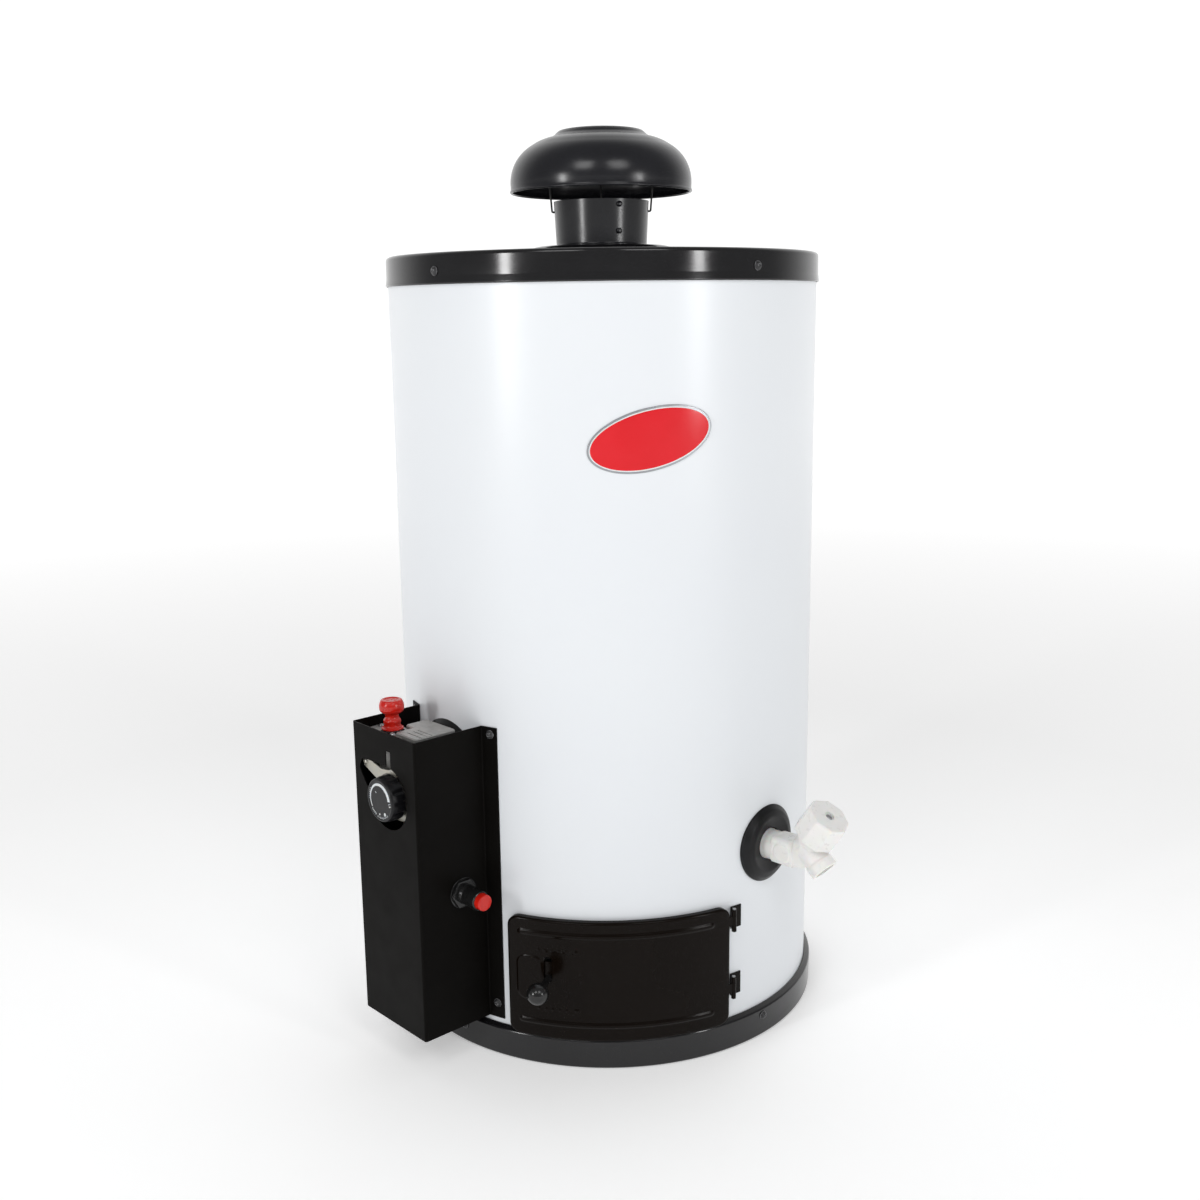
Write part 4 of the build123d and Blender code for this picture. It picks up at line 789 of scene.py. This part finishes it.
# ---- draft hood
dome = [(84.0, 779.0), (84.0, 782.0)]
dome += arc((84.0, 782.0), (79.6, 803.0), (65.0, 817.8), 22)[1:]
dome += arc((65.0, 817.8), (57.0, 822.2), (46.8, 825.2), 8)[1:]
raised_disc = [(46.8, 825.2), (43.2, 827.4), (40.4, 830.0), (37.0, 831.6), (25.0, 833.1)]
raised_disc += [(12.0, 833.8), (0.0, 834.0)]
dome += smooth_line(raised_disc, 5)[1:]
thinned = [0.95 if r < 70 else 0.5 if r < 80 else 0.0 for r, _ in dome]
inner = [(max(0.0, r - 1.0 * min(1.0, r / 30)), z - drop) for (r, z), drop in zip(dome, thinned)]
roll = [(83.4 + 1.3 * cos(radians(a)), 777.3 + 1.3 * sin(radians(a))) for a in range(170, 421, 18)]
piece(
    "hood_dome", lathe(inner[::-1] + roll + dome, 240), "hood_black",
    stands_for=["hood_cap"], sharp=60,
)
wires = []
for azimuth in WIRE_AZIMUTHS:
    right, away = compass(azimuth)
    route = [(51.5, 821.6), (47.2, 775), (46.0, 759.5), (41.6, 759.5), (41.6, 766)]
    wires.append(tube(bent([away * out + UP * z for out, z in route], 1.3), 0.9, 12))
piece("hood_wire_legs", merged(*wires), "dark_wire", stands_for=["hood_wires"])


# ---- escutcheons
def escutcheon(azimuth, side, z, outer, inner_edge):
    """Dished disc round a pipe whose skirt follows the jacket."""
    path = rounded(
        [
            (outer, -8.0), (outer, 0.6, 1.2), (outer - 4.5, 4.4, 6),
            (outer - 10, 6.0, 6), (inner_edge + 1.0, 3.6, 1.5), (inner_edge, 2.0),
        ],
        steps=6,
        closed=False,
    )
    verts, faces = moved(outward(azimuth, JACKET_R, side, z), lathe(thickened(path, 1.4), 96))
    _, away = compass(azimuth)
    settled = []
    for v in verts:
        point = Vector(v)
        reach = hypot(point.x, point.y)
        while reach < JACKET_R + 0.2:
            point += away * max(0.02, JACKET_R + 0.21 - reach)
            reach = hypot(point.x, point.y)
        settled.append(tuple(point))
    return settled, faces


piece(
    "drain_trim_disc", escutcheon(DRAIN_AZ, 0, DRAIN_Z, 36.2, 14.4), "escutcheon_black",
    stands_for=["drain_escutcheon"],
)
piece(
    "pipe_trim_discs",
    merged(
        escutcheon(BOX_AZ, 2.0, VALVE_Z, 39.5, 14.6),
        escutcheon(HOT_AZ, 0, HOT_Z, 30.0, 14.2),
        escutcheon(COLD_AZ, 0, COLD_Z, 30.0, 14.2),
    ),
    "escutcheon_black",
    stands_for=["pipe_escutcheons"],
)


# ---- threaded pipe ends
def thread(radius, low, high, pitch=1.8, depth=0.75):
    """Profile points of thread crests between two heights."""
    points, height = [], low
    while height + pitch <= high:
        points += [(radius - depth, height), (radius, height + 0.45 * pitch), (radius, height + 0.6 * pitch)]
        height += pitch
    return points + [(radius - depth, high)]


for name, azimuth, z in (("hot_outlet_nipple", HOT_AZ, HOT_Z), ("cold_inlet_nipple", COLD_AZ, COLD_Z)):
    pipe = [(10.1, 163.0), (12.8, 163.0), (12.8, 211.0)]
    pipe += [*thread(13.3, 212.1, 232.1), (12.2, 233.0), (10.1, 233.0)]
    shape = moved(outward(azimuth, z=z), lathe(pipe, 72))
    piece(name + "_threaded", shape, "zinc_pipe", stands_for=[name], sharp=45)

# ---- control box
HALF, FRONT, SHEET = 47.5, 268.0, 1.0
FOOT_R = JACKET_R + 0.2 + SHEET


def flange_points(sign):
    turns = [18.25, 17.2, 16.2, 15.2, 14.4]
    return [(sign * FOOT_R * sin(radians(t)), -FOOT_R * cos(radians(t))) for t in turns]


foot = -sqrt(FOOT_R**2 - HALF**2)
box_path = flange_points(-1)
box_path += rounded(
    [
        box_path[-1], (-HALF, foot, 1.2), (-HALF, -FRONT, 2.2),
        (HALF, -FRONT, 2.2), (HALF, foot, 1.2), flange_points(1)[-1],
    ],
    steps=6,
    closed=False,
)[1:-1]
box_path += flange_points(1)[::-1]
face = outward(BOX_AZ, FRONT - 8)
arm = rounded([(-27, 254), (-39.5, 271), (-34, 280.5), (4, 281.5), (14, 262)], 5.5, 6)
dial_opening = moved(face, prism(circle(29, 96, DIAL_SIDE, DIAL_Z), 0, 14))
arm_opening = moved(face, prism(arm, 0, 14))
notch = moved(face, prism(rectangle(7.2, 15, 0.6, 7, 288), 0, 14))
piece(
    "control_box_folding", moved(upward(BOX_AZ), prism(thickened(box_path, SHEET), BOX_LOW, BOX_HIGH)),
    "box_black", stands_for=["control_box"], cuts=[dial_opening, arm_opening, notch], bevel=0.2, sharp=40,
)

# ---- parts in the dial opening
ear = (-34.0, 276.6)
wing = [(-37.4, 272.0), (-39.4, 277.2), (-36.6, 281.4), (-31.2, 281.2), (-22, 277.6), (-10, 274.8)]
wing += [(0, 275.8), (6, 277.8), (10, 280.6), (12.4, 281.2), (13.2, 279.0)]
wing += [(DIAL_SIDE + 21.4 * cos(radians(a)), DIAL_Z + 21.4 * sin(radians(a))) for a in range(66, 151, 6)]
wing_plate = prism(rounded(wing, 1.0, 2), 262.6, 264.1)
joggle = lathe([(21.4, 256.0), (22.9, 256.0), (22.9, 263.9), (21.4, 263.9)], 24, 66, 84)
seat_plate = prism(circle(23.6, 96, DIAL_SIDE, DIAL_Z), 256.0, 257.5)
ear_rim = [(2.2, 1.2), (5.0, 1.2), (5.3, 1.6), (5.0, 2.1), (4.2, 2.3), (2.2, 2.3)]
piece(
    "dial_bracket_plate",
    merged(
        moved(outward(BOX_AZ), merged(wing_plate, seat_plate)),
        moved(outward(BOX_AZ, 0, DIAL_SIDE, DIAL_Z), joggle),
        moved(outward(BOX_AZ, 261.9, *ear), lathe(ear_rim, 32)),
    ),
    "zinc_plate",
    stands_for=["dial_bracket"],
    cuts=[rod(outward(BOX_AZ, 250, DIAL_SIDE, DIAL_Z), 9, 0, 12, 48)],
    bevel=0.15,
)
screws(
    "bracket_screw_head", "zinc_plate", [outward(BOX_AZ, 264.1, *ear)], [], 2.7, 1.9, 0.5,
)
screws(
    "knob_plate_screws", "steel",
    [upward(BOX_AZ, 303.1, 242, -40.5), upward(BOX_AZ, 303.1, 250.5, -10.2)],
    ["control_screws"], 2.8, 1.9, 0.5,
)


# ---- temperature dial
def scalloped(radius, dip, flutes=12, count=288):
    """Round outline with shallow hollows for the fingers."""
    found = []
    for k in range(count):
        turn = 2 * pi * k / count
        wave = max(0.0, cos(flutes * turn)) ** 1.5
        reach = radius - dip * wave
        found.append((reach * cos(turn), reach * sin(turn)))
    return found


DIAL_PROFILE = [
    (19.6, 0.9, 262.05), (20.3, 1.3, 262.5), (20.5, 1.5, 263.4), (20.5, 1.5, 270.0), (20.4, 1.2, 271.4),
    (20.1, 0.6, 272.6), (19.9, 0.15, 273.4), (19.75, 0.0, 274.6), (19.4, 0.0, 275.7), (18.7, 0.0, 276.35),
    (18.0, 0.0, 276.5), (17.5, 0.0, 276.45), (17.2, 0.0, 276.25), (16.8, 0.0, 276.2), (9.0, 0.0, 276.2),
]
dial_rings = [flat(scalloped(radius, dip), out) for radius, dip, out in DIAL_PROFILE]
dial_place = outward(BOX_AZ, 0, DIAL_SIDE, DIAL_Z)
hollow_profile = [(3.2, 261.0), (17.6, 261.0), (17.6, 270.0), (5.6, 270.0), (5.6, 264.0), (3.2, 264.0)]
hollow = moved(dial_place, lathe(hollow_profile, 64))
piece(
    "dial_knob", moved(dial_place, loft(dial_rings)), "dial_black", "dial",
    stands_for=["temperature_dial"], cuts=[hollow], sharp=42,
)


def print_mark(outline):
    return moved(dial_place, prism(outline, 276.18, 276.27))


def arc_band(radius, begin, end, thin, thick, count=48):
    """Flat band round the dial that widens from one end to the other."""
    outer, inner_side = [], []
    for k in range(count + 1):
        share = k / count
        turn = radians(begin + (end - begin) * share)
        width = thin + (thick - thin) * min(1.0, share * 1.25) ** 1.4
        outer.append(((radius + width * 0.35) * cos(turn), (radius + width * 0.35) * sin(turn)))
        inner_side.append(((radius - width * 0.65) * cos(turn), (radius - width * 0.65) * sin(turn)))
    return outer + inner_side[::-1]


def polar(radius, angle):
    return radius * cos(radians(angle)), radius * sin(radians(angle))


def tick(radius, angle, length, width):
    place = Matrix.Rotation(radians(angle), 4, "Z")
    corners = [(radius - length / 2, -width / 2), (radius + length / 2, -width / 2)]
    corners += [(radius + length / 2, width / 2), (radius - length / 2, width / 2)]
    return [tuple((place @ Vector((x, y, 0)))[:2]) for x, y in corners]


marks = [print_mark(arc_band(14.6, 214, 8, 0.95, 3.3))]
for angle, radius, size in ((1, 15.6, 0.5), (-2, 13.6, 0.5), (-9, 14.9, 0.75), (-6, 16.6, 0.4)):
    marks.append(print_mark(circle(size, 20, *polar(radius, angle))))
for k in range(5):
    marks.append(print_mark(tick(15.4, 220 + 6 * k, 2.0, 0.5)))
for k in range(9):
    marks.append(print_mark(tick(16.0, 256 + 7 * k, 1.2 if k % 2 else 1.9, 0.5)))
for k in range(6):
    marks.append(print_mark(tick(16.4, 150 + 7 * k, 0.8, 0.45)))
oval_x, oval_y = polar(13.4, 302)
oval = [(oval_x + 1.35 * x, oval_y + 1.75 * y) for x, y in circle(1, 28)]
marks.append(print_mark(oval))
marks.append(print_mark(circle(0.85, 20, *polar(13.0, 266))))
marks.append(print_mark(tick(8.5, 133, 1.7, 0.6)))
piece("dial_print", merged(*marks), "white_plastic", "dial", sharp=60)

# ---- pilot knob
knob_place = upward(BOX_AZ, KNOB_LOW, KNOB_OUT, KNOB_SIDE)
foot_rim = rounded([(3.0, 0.0), (10.0, 0.0, 0.5), (10.0, 1.5, 0.6), (8.8, 1.8)], steps=3, closed=False)
waist = smooth_line(
    [
        (8.8, 1.8), (7.7, 3.2), (7.5, 5.0), (7.9, 6.6), (7.7, 8.4), (6.5, 10.2), (6.1, 12.2),
        (6.7, 14.2), (9.2, 15.8), (10.9, 17.8), (11.2, 20.6), (11.0, 23.2), (10.2, 25.4),
    ],
    5,
)
crown = [(10.2, 25.4), (9.4, 27.2, 1.6), (7.0, 27.4, 0.8), (6.3, 26.6, 0.6), (0.0, 26.3)]
knob_profile = [(3.0, 9.0), (3.0, 0.0), *foot_rim[1:], *waist[1:]]
knob_profile += [*rounded(crown, steps=5, closed=False)[1:], (0.0, 9.0)]
knob_marks = [prism(tick(3.6, 90 * k + 45, 3.2, 0.9), 26.0, 26.75) for k in range(4)]
piece(
    "pilot_knob_moulding", moved(knob_place, merged(lathe(knob_profile, 96), *knob_marks)), "red_plastic",
    "pilot_button", stands_for=["pilot_knob"], sharp=50,
)

spring_low, spring_high = span_of("pilot_spring")
spring_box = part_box("pilot_spring")
wire_r = 0.6
coil_r = (spring_box[1] - spring_box[0]).x / MM / 2 - wire_r
turns, rise = 4.0, spring_high - spring_low - 2 * wire_r
coil_points = [
    (coil_r * cos(2 * pi * turns * k / 160), coil_r * sin(2 * pi * turns * k / 160), wire_r + rise * k / 160)
    for k in range(161)
]
spring_place = upward(BOX_AZ, spring_low, KNOB_OUT, KNOB_SIDE)
spring = piece(
    "pilot_coil", moved(spring_place, tube(coil_points, wire_r, 10)), "steel", stands_for=["pilot_spring"],
)
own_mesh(spring)

# ---- piezo igniter
piezo = rightward(BOX_AZ, 0, PIEZO_OUT, PIEZO_Z)
barrel = [(7.4, 34.0), (8.0, 34.0), (8.0, 43.3), (13.0, 43.3), (13.0, 46.3), (9.0, 46.3), (9.0, 52.4)]
barrel += [(8.7 + 0.3 * (k % 2), 53.2 + 0.8 * k) for k in range(6)]
barrel += [(9.0, 72.6), (8.4, 73.8), (7.9, 74.0), (7.4, 73.4)]
piece("igniter_barrel", moved(piezo, lathe(barrel, 72)), "knob_black", stands_for=["piezo_body"], sharp=40)
nut_ring = polygon(12.0, 6, 0.8)
nut_levels = [(48.6, 0.94), (49.4, 1.0), (51.4, 1.0), (52.1, 0.94)]
nut = loft([flat(nut_ring, level, scale) for level, scale in nut_levels])
washer = lathe(rounded([(9.2, 47.6), (14.0, 47.6), (14.0, 48.6), (9.2, 48.6)], 0.2, 2), 64)
piece(
    "igniter_nut", moved(piezo, merged(nut, washer)), "knob_black", stands_for=["piezo_nut"],
    cuts=[rod(piezo, 9.1, 48.61, 60)], bevel=0.15,
)
button = [(0.0, 40.0), (3.0, 40.0), (3.0, 66.0), (7.35, 66.0), (7.35, 78.8)]
button += arc((7.3, 79.1), (6.9, 79.9), (6.1, 80.15), 5)
button += arc((6.1, 80.15), (3.2, 80.42), (0.0, 80.5), 6)[1:]
piece(
    "igniter_button_cap", moved(piezo, lathe(button, 72)), "red_plastic", "igniter_button",
    stands_for=["piezo_button"], sharp=50,
)


# ---- access door
def lines(half, corner, middle, at_corner=9):
    """Grid positions from -half to half, closer together in the corners."""
    edge = [half - corner * k / at_corner for k in range(at_corner)]
    core = [(half - corner) * (2 * k / middle - 1) for k in range(middle + 1)]
    return [-e for e in edge] + core + edge[::-1]


def panel_point(x, y, half_w, half_h, corner):
    """Where a grid point lies in the rounded rectangle, and the way out from it."""
    cx, cy = half_w - corner, half_h - corner
    over_x, over_y = (abs(x) - cx) / corner, (abs(y) - cy) / corner
    sx, sy = (1 if x > 0 else -1), (1 if y > 0 else -1)
    if over_x <= 0 or over_y <= 0:
        way = (sx, 0) if over_x > over_y else (0, sy)
        return (x, y), way
    angle = pi / 4 * over_y / over_x if over_x >= over_y else pi / 2 - pi / 4 * over_x / over_y
    reach = max(over_x, over_y) * corner
    way = (sx * cos(angle), sy * sin(angle))
    return (sx * cx + reach * way[0], sy * cy + reach * way[1]), way


def smoothstep(value):
    t = max(0.0, min(1.0, value))
    return t * t * (3 - 2 * t)


DOOR_MID_Z = (DOOR_LOW + DOOR_HIGH) / 2
PAD_X = DOOR_R * sin(radians(-20.2 - DOOR_AZ))
BEAD_LEFT = DOOR_R * sin(radians(-22.6 - DOOR_AZ))
BEAD_RIGHT = DOOR_R * sin(radians(26.2 - DOOR_AZ))
LATCH_X = DOOR_R * sin(radians(LATCH_AZ - DOOR_AZ))
BEADS_Z = (42.8, 128.3)
PAD_Z, PAD_HALF_X, PAD_HALF_Z, PAD_CORNER = 84.7, 11.5, 21.2, 8.0
MARKS_Z = ((1, 113.2), (-1, 56.2))


def door_relief(x, z):
    """Height of the pressed features of the door above its plain curve."""
    height = 0.0
    for bead_z in BEADS_Z:
        away = hypot(max(BEAD_LEFT - x, 0.0, x - BEAD_RIGHT), z - bead_z)
        height = max(height, 1.25 * smoothstep((3.2 - away) / 2.4))
    dx, dz = abs(x - PAD_X) - (PAD_HALF_X - PAD_CORNER), abs(z - PAD_Z) - (PAD_HALF_Z - PAD_CORNER)
    away = hypot(max(dx, 0.0), max(dz, 0.0)) + min(max(dx, dz), 0.0) - PAD_CORNER
    height = max(height, 0.9 * smoothstep((0.6 - away) / 1.4))
    for sign, mark_z in MARKS_Z:
        for k in range(5):
            away = hypot(x - (LATCH_X - 8.5 + 6.2 * k), z - mark_z)
            height = max(height, 1.0 * smoothstep((1.75 - away) / 1.2))
        tip = sign * (z - mark_z) + 1.9
        inside = min(tip, 3.6 - tip - 1.15 * abs(x - (LATCH_X + 25.0)) + 0.4)
        height = max(height, 1.0 * smoothstep(inside / 0.8))
    return height


def door_panel_solid():
    """Curved tray: pressed face, rolled edge, turned-back sides and an inner face."""
    place = on_drum(DOOR_AZ, DOOR_R)
    half_w, half_h = DOOR_HALF, (DOOR_HIGH - DOOR_LOW) / 2
    lip, sheet, corner, side_depth = 2.4, 1.0, 10.0, 6.2
    verts, faces, borders = [], [], []
    columns = lines(half_w - lip, corner - lip, 150)
    rows = lines(half_h - lip, corner - lip, 110)
    for inward in (0.0, sheet):
        ids, ways = {}, {}
        for i, x in enumerate(columns):
            for j, y in enumerate(rows):
                (px, py), way = panel_point(x, y, half_w - lip, half_h - lip, corner - lip)
                ids[i, j], ways[i, j] = len(verts), (px, py, way)
                z = DOOR_MID_Z + py
                verts.append(tuple(place(px, z, door_relief(px, z) - inward)))
        for i in range(len(columns) - 1):
            for j in range(len(rows) - 1):
                faces.append((ids[i, j], ids[i + 1, j], ids[i + 1, j + 1], ids[i, j + 1]))
        last_i, last_j = len(columns) - 1, len(rows) - 1
        loop = [(i, 0) for i in range(last_i)] + [(last_i, j) for j in range(last_j)]
        loop += [(i, last_j) for i in range(last_i, 0, -1)] + [(0, j) for j in range(last_j, 0, -1)]
        steps = [(lip * sin(a), lip * (1 - cos(a))) for a in (0.35, 0.7, 1.05, 1.35, pi / 2)]
        steps = [(out - inward * out / lip, down + inward * (1 - down / lip)) for out, down in steps]
        steps.append((steps[-1][0], side_depth))
        rings = [[ids[key] for key in loop]]
        for out, down in steps:
            ring = []
            for key in loop:
                px, py, way = ways[key]
                x, z = px + way[0] * out, DOOR_MID_Z + py + way[1] * out
                ring.append(len(verts))
                verts.append(tuple(place(x, z, -down)))
            rings.append(ring)
        for a, b in zip(rings, rings[1:]):
            for k in range(len(a)):
                n = (k + 1) % len(a)
                faces.append((a[k], a[n], b[n], b[k]))
        borders.append(rings[-1])
    a, b = borders
    for k in range(len(a)):
        n = (k + 1) % len(a)
        faces.append((a[k], a[n], b[n], b[k]))
    return verts, faces


SLOT_WIDE = 7.6
latch_travel = joints["latch_slide"]["range_m"][1] / MM
latch_slot = rectangle(SLOT_WIDE, latch_travel + SLOT_WIDE, 3.75, 0, LATCH_Z + latch_travel / 2)
slot_cut = moved(outward(LATCH_AZ, 195), prism(latch_slot, 0, 20))
pan_relief = lathe([(150.0, 20.0), (206.3, 20.0), (206.3, 30.6), (150.0, 30.6)], 360)
piece(
    "door_pressing", door_panel_solid(), "door_black", "access_door",
    stands_for=["door_panel"], cuts=[slot_cut, pan_relief], sharp=40,
)
knuckle = lathe(rounded([(1.15, 0.0), (2.2, 0.0), (2.2, 9.4), (1.15, 9.4)], 0.3, 3), 40)
straps = []
for low, high in DOOR_KNUCKLES:
    straps.append(moved(upward(HINGE_AZ, low, HINGE_R), knuckle))
    strap_profile = rounded([(206.1, low), (207.3, low), (207.3, high), (206.1, high)], 0.25, 2)
    straps.append(lathe(strap_profile, 6, 31.0 - 90, 1.75))
piece("door_hinge_straps", merged(*straps), "door_black", "access_door", sharp=40)

# ---- latch knob
ball = [(9.8 * cos(radians(a)), 237.0 + 9.8 * sin(radians(a))) for a in range(-66, 91, 6)]
stem = [(0.0, 204.2), (3.2, 204.2), (3.2, 221.5), (4.4, 222.2), (4.7, 223.0), (4.7, 226.4), (4.2, 227.4)]
stem_and_ball = [*stem, *ball[:-1], (0.0, 246.8)]
piece(
    "latch_ball", moved(outward(LATCH_AZ, z=LATCH_Z), lathe(stem_and_ball, 80)), "knob_black", "door_latch",
    stands_for=["latch_knob"], sharp=40,
)

# ---- drain valve
OUTLET_LEAN = -43.0
inlet_axis = outward(DRAIN_AZ, 0, z=DRAIN_Z)
handle_axis = outward(DRAIN_AZ, DRAIN_OUT, z=DRAIN_Z, lean=DRAIN_LEAN)
outlet_axis = outward(DRAIN_AZ, 243.5, z=197.0, lean=OUTLET_LEAN)
left_face = rightward(DRAIN_AZ, 0, 225.6, DRAIN_Z)
outlet_lip = [(12.3, 18.6), (13.1, 19.8), (13.1, 28.5)]
valve_parts = [
    rod(inlet_axis, 13.2, 163, 202),
    rod(inlet_axis, 13.7, 200.5, 216),
    rod(inlet_axis, 14.2, 201.4, 203.4),
    moved(inlet_axis, prism(rectangle(25.2, 25.2, 5.5), 213, 236)),
    moved(left_face, prism(rectangle(17.5, 15.5, 6.5), -13.6, 13.6)),
    rod(handle_axis, 11.6, -8, 22),
    rod(handle_axis, 13.2, 16.5, 22),
    rod(outlet_axis, 12.3, 0, 20),
    moved(outlet_axis, loft([flat(circle(radius, 64), out) for radius, out in outlet_lip])),
]
bores = [
    rod(inlet_axis, 8, 150, 230, 48),
    rod(handle_axis, 8, -4, 36, 48),
    rod(outlet_axis, 9, 8, 40, 48),
]
piece(
    "drain_valve_body", merged(*valve_parts), "white_plastic", stands_for=["drain_body"],
    cuts=bores, voxel=0.5, sharp=50,
)
octagon = polygon(19.0, 8, 2.2, 5)
HANDLE_LEVELS = [(24.5, 0.955), (24.9, 0.985), (26.0, 1.0), (49.2, 0.99)]
HANDLE_LEVELS += [(50.9, 0.972), (52.0, 0.935), (52.45, 0.88), (52.5, 0.6)]
handle_rings = [flat(octagon, out, scale) for out, scale in HANDLE_LEVELS]
handle_cuts = [
    rod(handle_axis, 15.5, 20, 40.5),
    rod(handle_axis, 4.6, 50.3, 60, 40),
]
piece(
    "drain_handle_moulding", moved(handle_axis, loft(handle_rings)), "white_plastic", "drain_spindle",
    stands_for=["drain_handle"], cuts=handle_cuts, sharp=46,
)
screw_head, screw_recess = screw_parts(3.7, 2.2, 0.3)
screw_place = handle_axis @ Matrix.Translation((0, 0, 49.7)) @ Matrix.Rotation(radians(25), 4, "Z")
piece(
    "handle_screw_head", moved(screw_place, screw_head), "steel", "drain_spindle",
    stands_for=["drain_handle_screw"], cuts=[moved(screw_place, screw_recess)], sharp=40,
)


# ---- badge
def oval_plate(width, height, low, high, edge, crown, rings=14, count=120):
    """Oval plate bent round the jacket, with a rolled edge and a slight crown."""
    place = on_drum(BADGE_AZ, JACKET_R)
    tilt = radians(BADGE_TILT)
    levels = [(1.0, low), (1.0, high - edge)]
    for angle in (0.5, 1.0, pi / 2):
        levels.append((1 - edge * 2 / height * (1 - cos(angle)), high - edge + edge * sin(angle)))
    rim_scale = levels[-1][0]
    for k in range(1, rings):
        share = 1 - k / rings
        levels.append((rim_scale * share, high + crown * (1 - share**2)))
    rows = []
    for scale, lift in levels:
        row = []
        for k in range(count):
            turn = 2 * pi * k / count
            a, b = scale * width / 2 * cos(turn), scale * height / 2 * sin(turn)
            x, z = a * cos(tilt) - b * sin(tilt), a * sin(tilt) + b * cos(tilt)
            row.append(tuple(place(x, BADGE_Z + z, lift)))
        rows.append(row)
    return loft(rows)


piece(
    "badge_rim", oval_plate(108, 52, 0.1, 0.95, 0.4, 0.0), "badge_silver",
    stands_for=["badge_base"], sharp=60,
)
piece("badge_inner_line", oval_plate(104.6, 48.6, 0.8, 1.05, 0.12, 0.0), "white_plastic", sharp=60)
piece(
    "badge_enamel", oval_plate(102.6, 46.6, 0.9, 1.3, 0.25, 0.18), "badge_red",
    stands_for=["badge_face"], sharp=60,
)

# ---- edges of the CAD pieces that stay in view
for node_name in (
    "control_body", "gas_fittings", "door_hinge_leaves", "door_hinge_pins", "latch_slider",
    "burner_head", "burner_bracket", "pilot_burner", "mixing_tube", "tank_spuds",
    "burner_orifice", "drain_stem", "pilot_stem",
):
    soften_edges(nodes[node_name], 0.3, 40)

# ---- floor, light and camera
floor_mesh = bpy.data.meshes.new("floor")
FLOOR_HALF, FLOOR_Z = 30, -0.0005
floor_corners = [(FLOOR_HALF * x, FLOOR_HALF * y, FLOOR_Z) for x, y in ((-1, -1), (1, -1), (1, 1), (-1, 1))]
floor_mesh.from_pydata(floor_corners, [], [(0, 1, 2, 3)])
pale = Finish("floor_pale")
distance = pale.add("VectorMath", {0: pale.place})
distance.operation = "LENGTH"
pale.fill(pale.shader, {
    "Base Color": pale.mix(pale.noise(900, 2.0), (0.93, 0.93, 0.93), (0.95, 0.95, 0.95)),
    "Roughness": 0.9,
    "Specular IOR Level": 0.1,
    "Emission Color": (1, 1, 1, 1),
    "Emission Strength": pale.remap(distance.outputs["Value"], 1.0, 5.0, 0.3, 0.75),
})
floor_mesh.materials.append(pale.material)
add_object("floor", floor_mesh)

world = bpy.data.worlds.new("studio")
bpy.context.scene.world = world
world.use_nodes = True
sky = world.node_tree

# bright behind the object and grey before it, so that the black parts mirror a dim room
DIM, BRIGHT = 0.28, 1.1
axes = sky.nodes.new("ShaderNodeSeparateXYZ")
sky.links.new(sky.nodes.new("ShaderNodeTexCoord").outputs["Generated"], axes.inputs["Vector"])
shift = sky.nodes.new("ShaderNodeMapRange")
shift.inputs["From Min"].default_value = -1.0
sky.links.new(axes.outputs["Y"], shift.inputs["Value"])
room = sky.nodes.new("ShaderNodeValToRGB")
room.color_ramp.interpolation = "EASE"
stops = [(0.0, DIM), (0.55, DIM), (0.9, BRIGHT), (1.0, BRIGHT)]
while len(room.color_ramp.elements) < len(stops):
    room.color_ramp.elements.new(0.5)
for element, (position, brightness) in zip(room.color_ramp.elements, stops):
    element.position = position
    element.color = (brightness, brightness, brightness, 1)
sky.links.new(shift.outputs["Result"], room.inputs["Fac"])
sky.links.new(room.outputs["Color"], sky.nodes["Background"].inputs["Color"])
sky.nodes["Background"].inputs["Strength"].default_value = 1.0


def area_light(name, at, aim, wide, tall, power):
    data = bpy.data.lights.new(name, "AREA")
    data.shape = "RECTANGLE"
    data.size = wide
    data.size_y = tall
    data.energy = power
    light = add_object(name, data)
    light.location = at
    light.rotation_euler = (Vector(aim) - Vector(at)).to_track_quat("-Z", "Y").to_euler()


for name, side, strip_power in (("left", -1, 9), ("right", 1, 7)):
    area_light(name + "_key", (0.8 * side, -1.9, 2.0), (0, 0, 0.42), 0.8, 0.8, 8.1)
    area_light(name + "_strip", (1.61 * side, -1.47, 0.82), (0, 0, 0.68), 0.2, 0.62, strip_power)

camera_data = bpy.data.cameras.new("camera")
camera_data.sensor_width = 36.0
camera_data.lens = 41.16
camera_data.dof.use_dof = False
camera = add_object("camera", camera_data)
yaw, pitch, roll = radians(-0.25), radians(11.92), radians(-0.72)
ahead = Vector((sin(yaw) * cos(pitch), cos(yaw) * cos(pitch), -sin(pitch)))
level = Vector((cos(yaw), -sin(yaw), 0))
above = level.cross(ahead)
camera_right = level * cos(roll) + above * sin(roll)
camera_up = above * cos(roll) - level * sin(roll)
camera.matrix_world = placed(camera_right, camera_up, -ahead, Vector((0, -1.3291, 0.6694)))
bpy.context.scene.camera = camera
bpy.context.scene.view_settings.view_transform = "Standard"
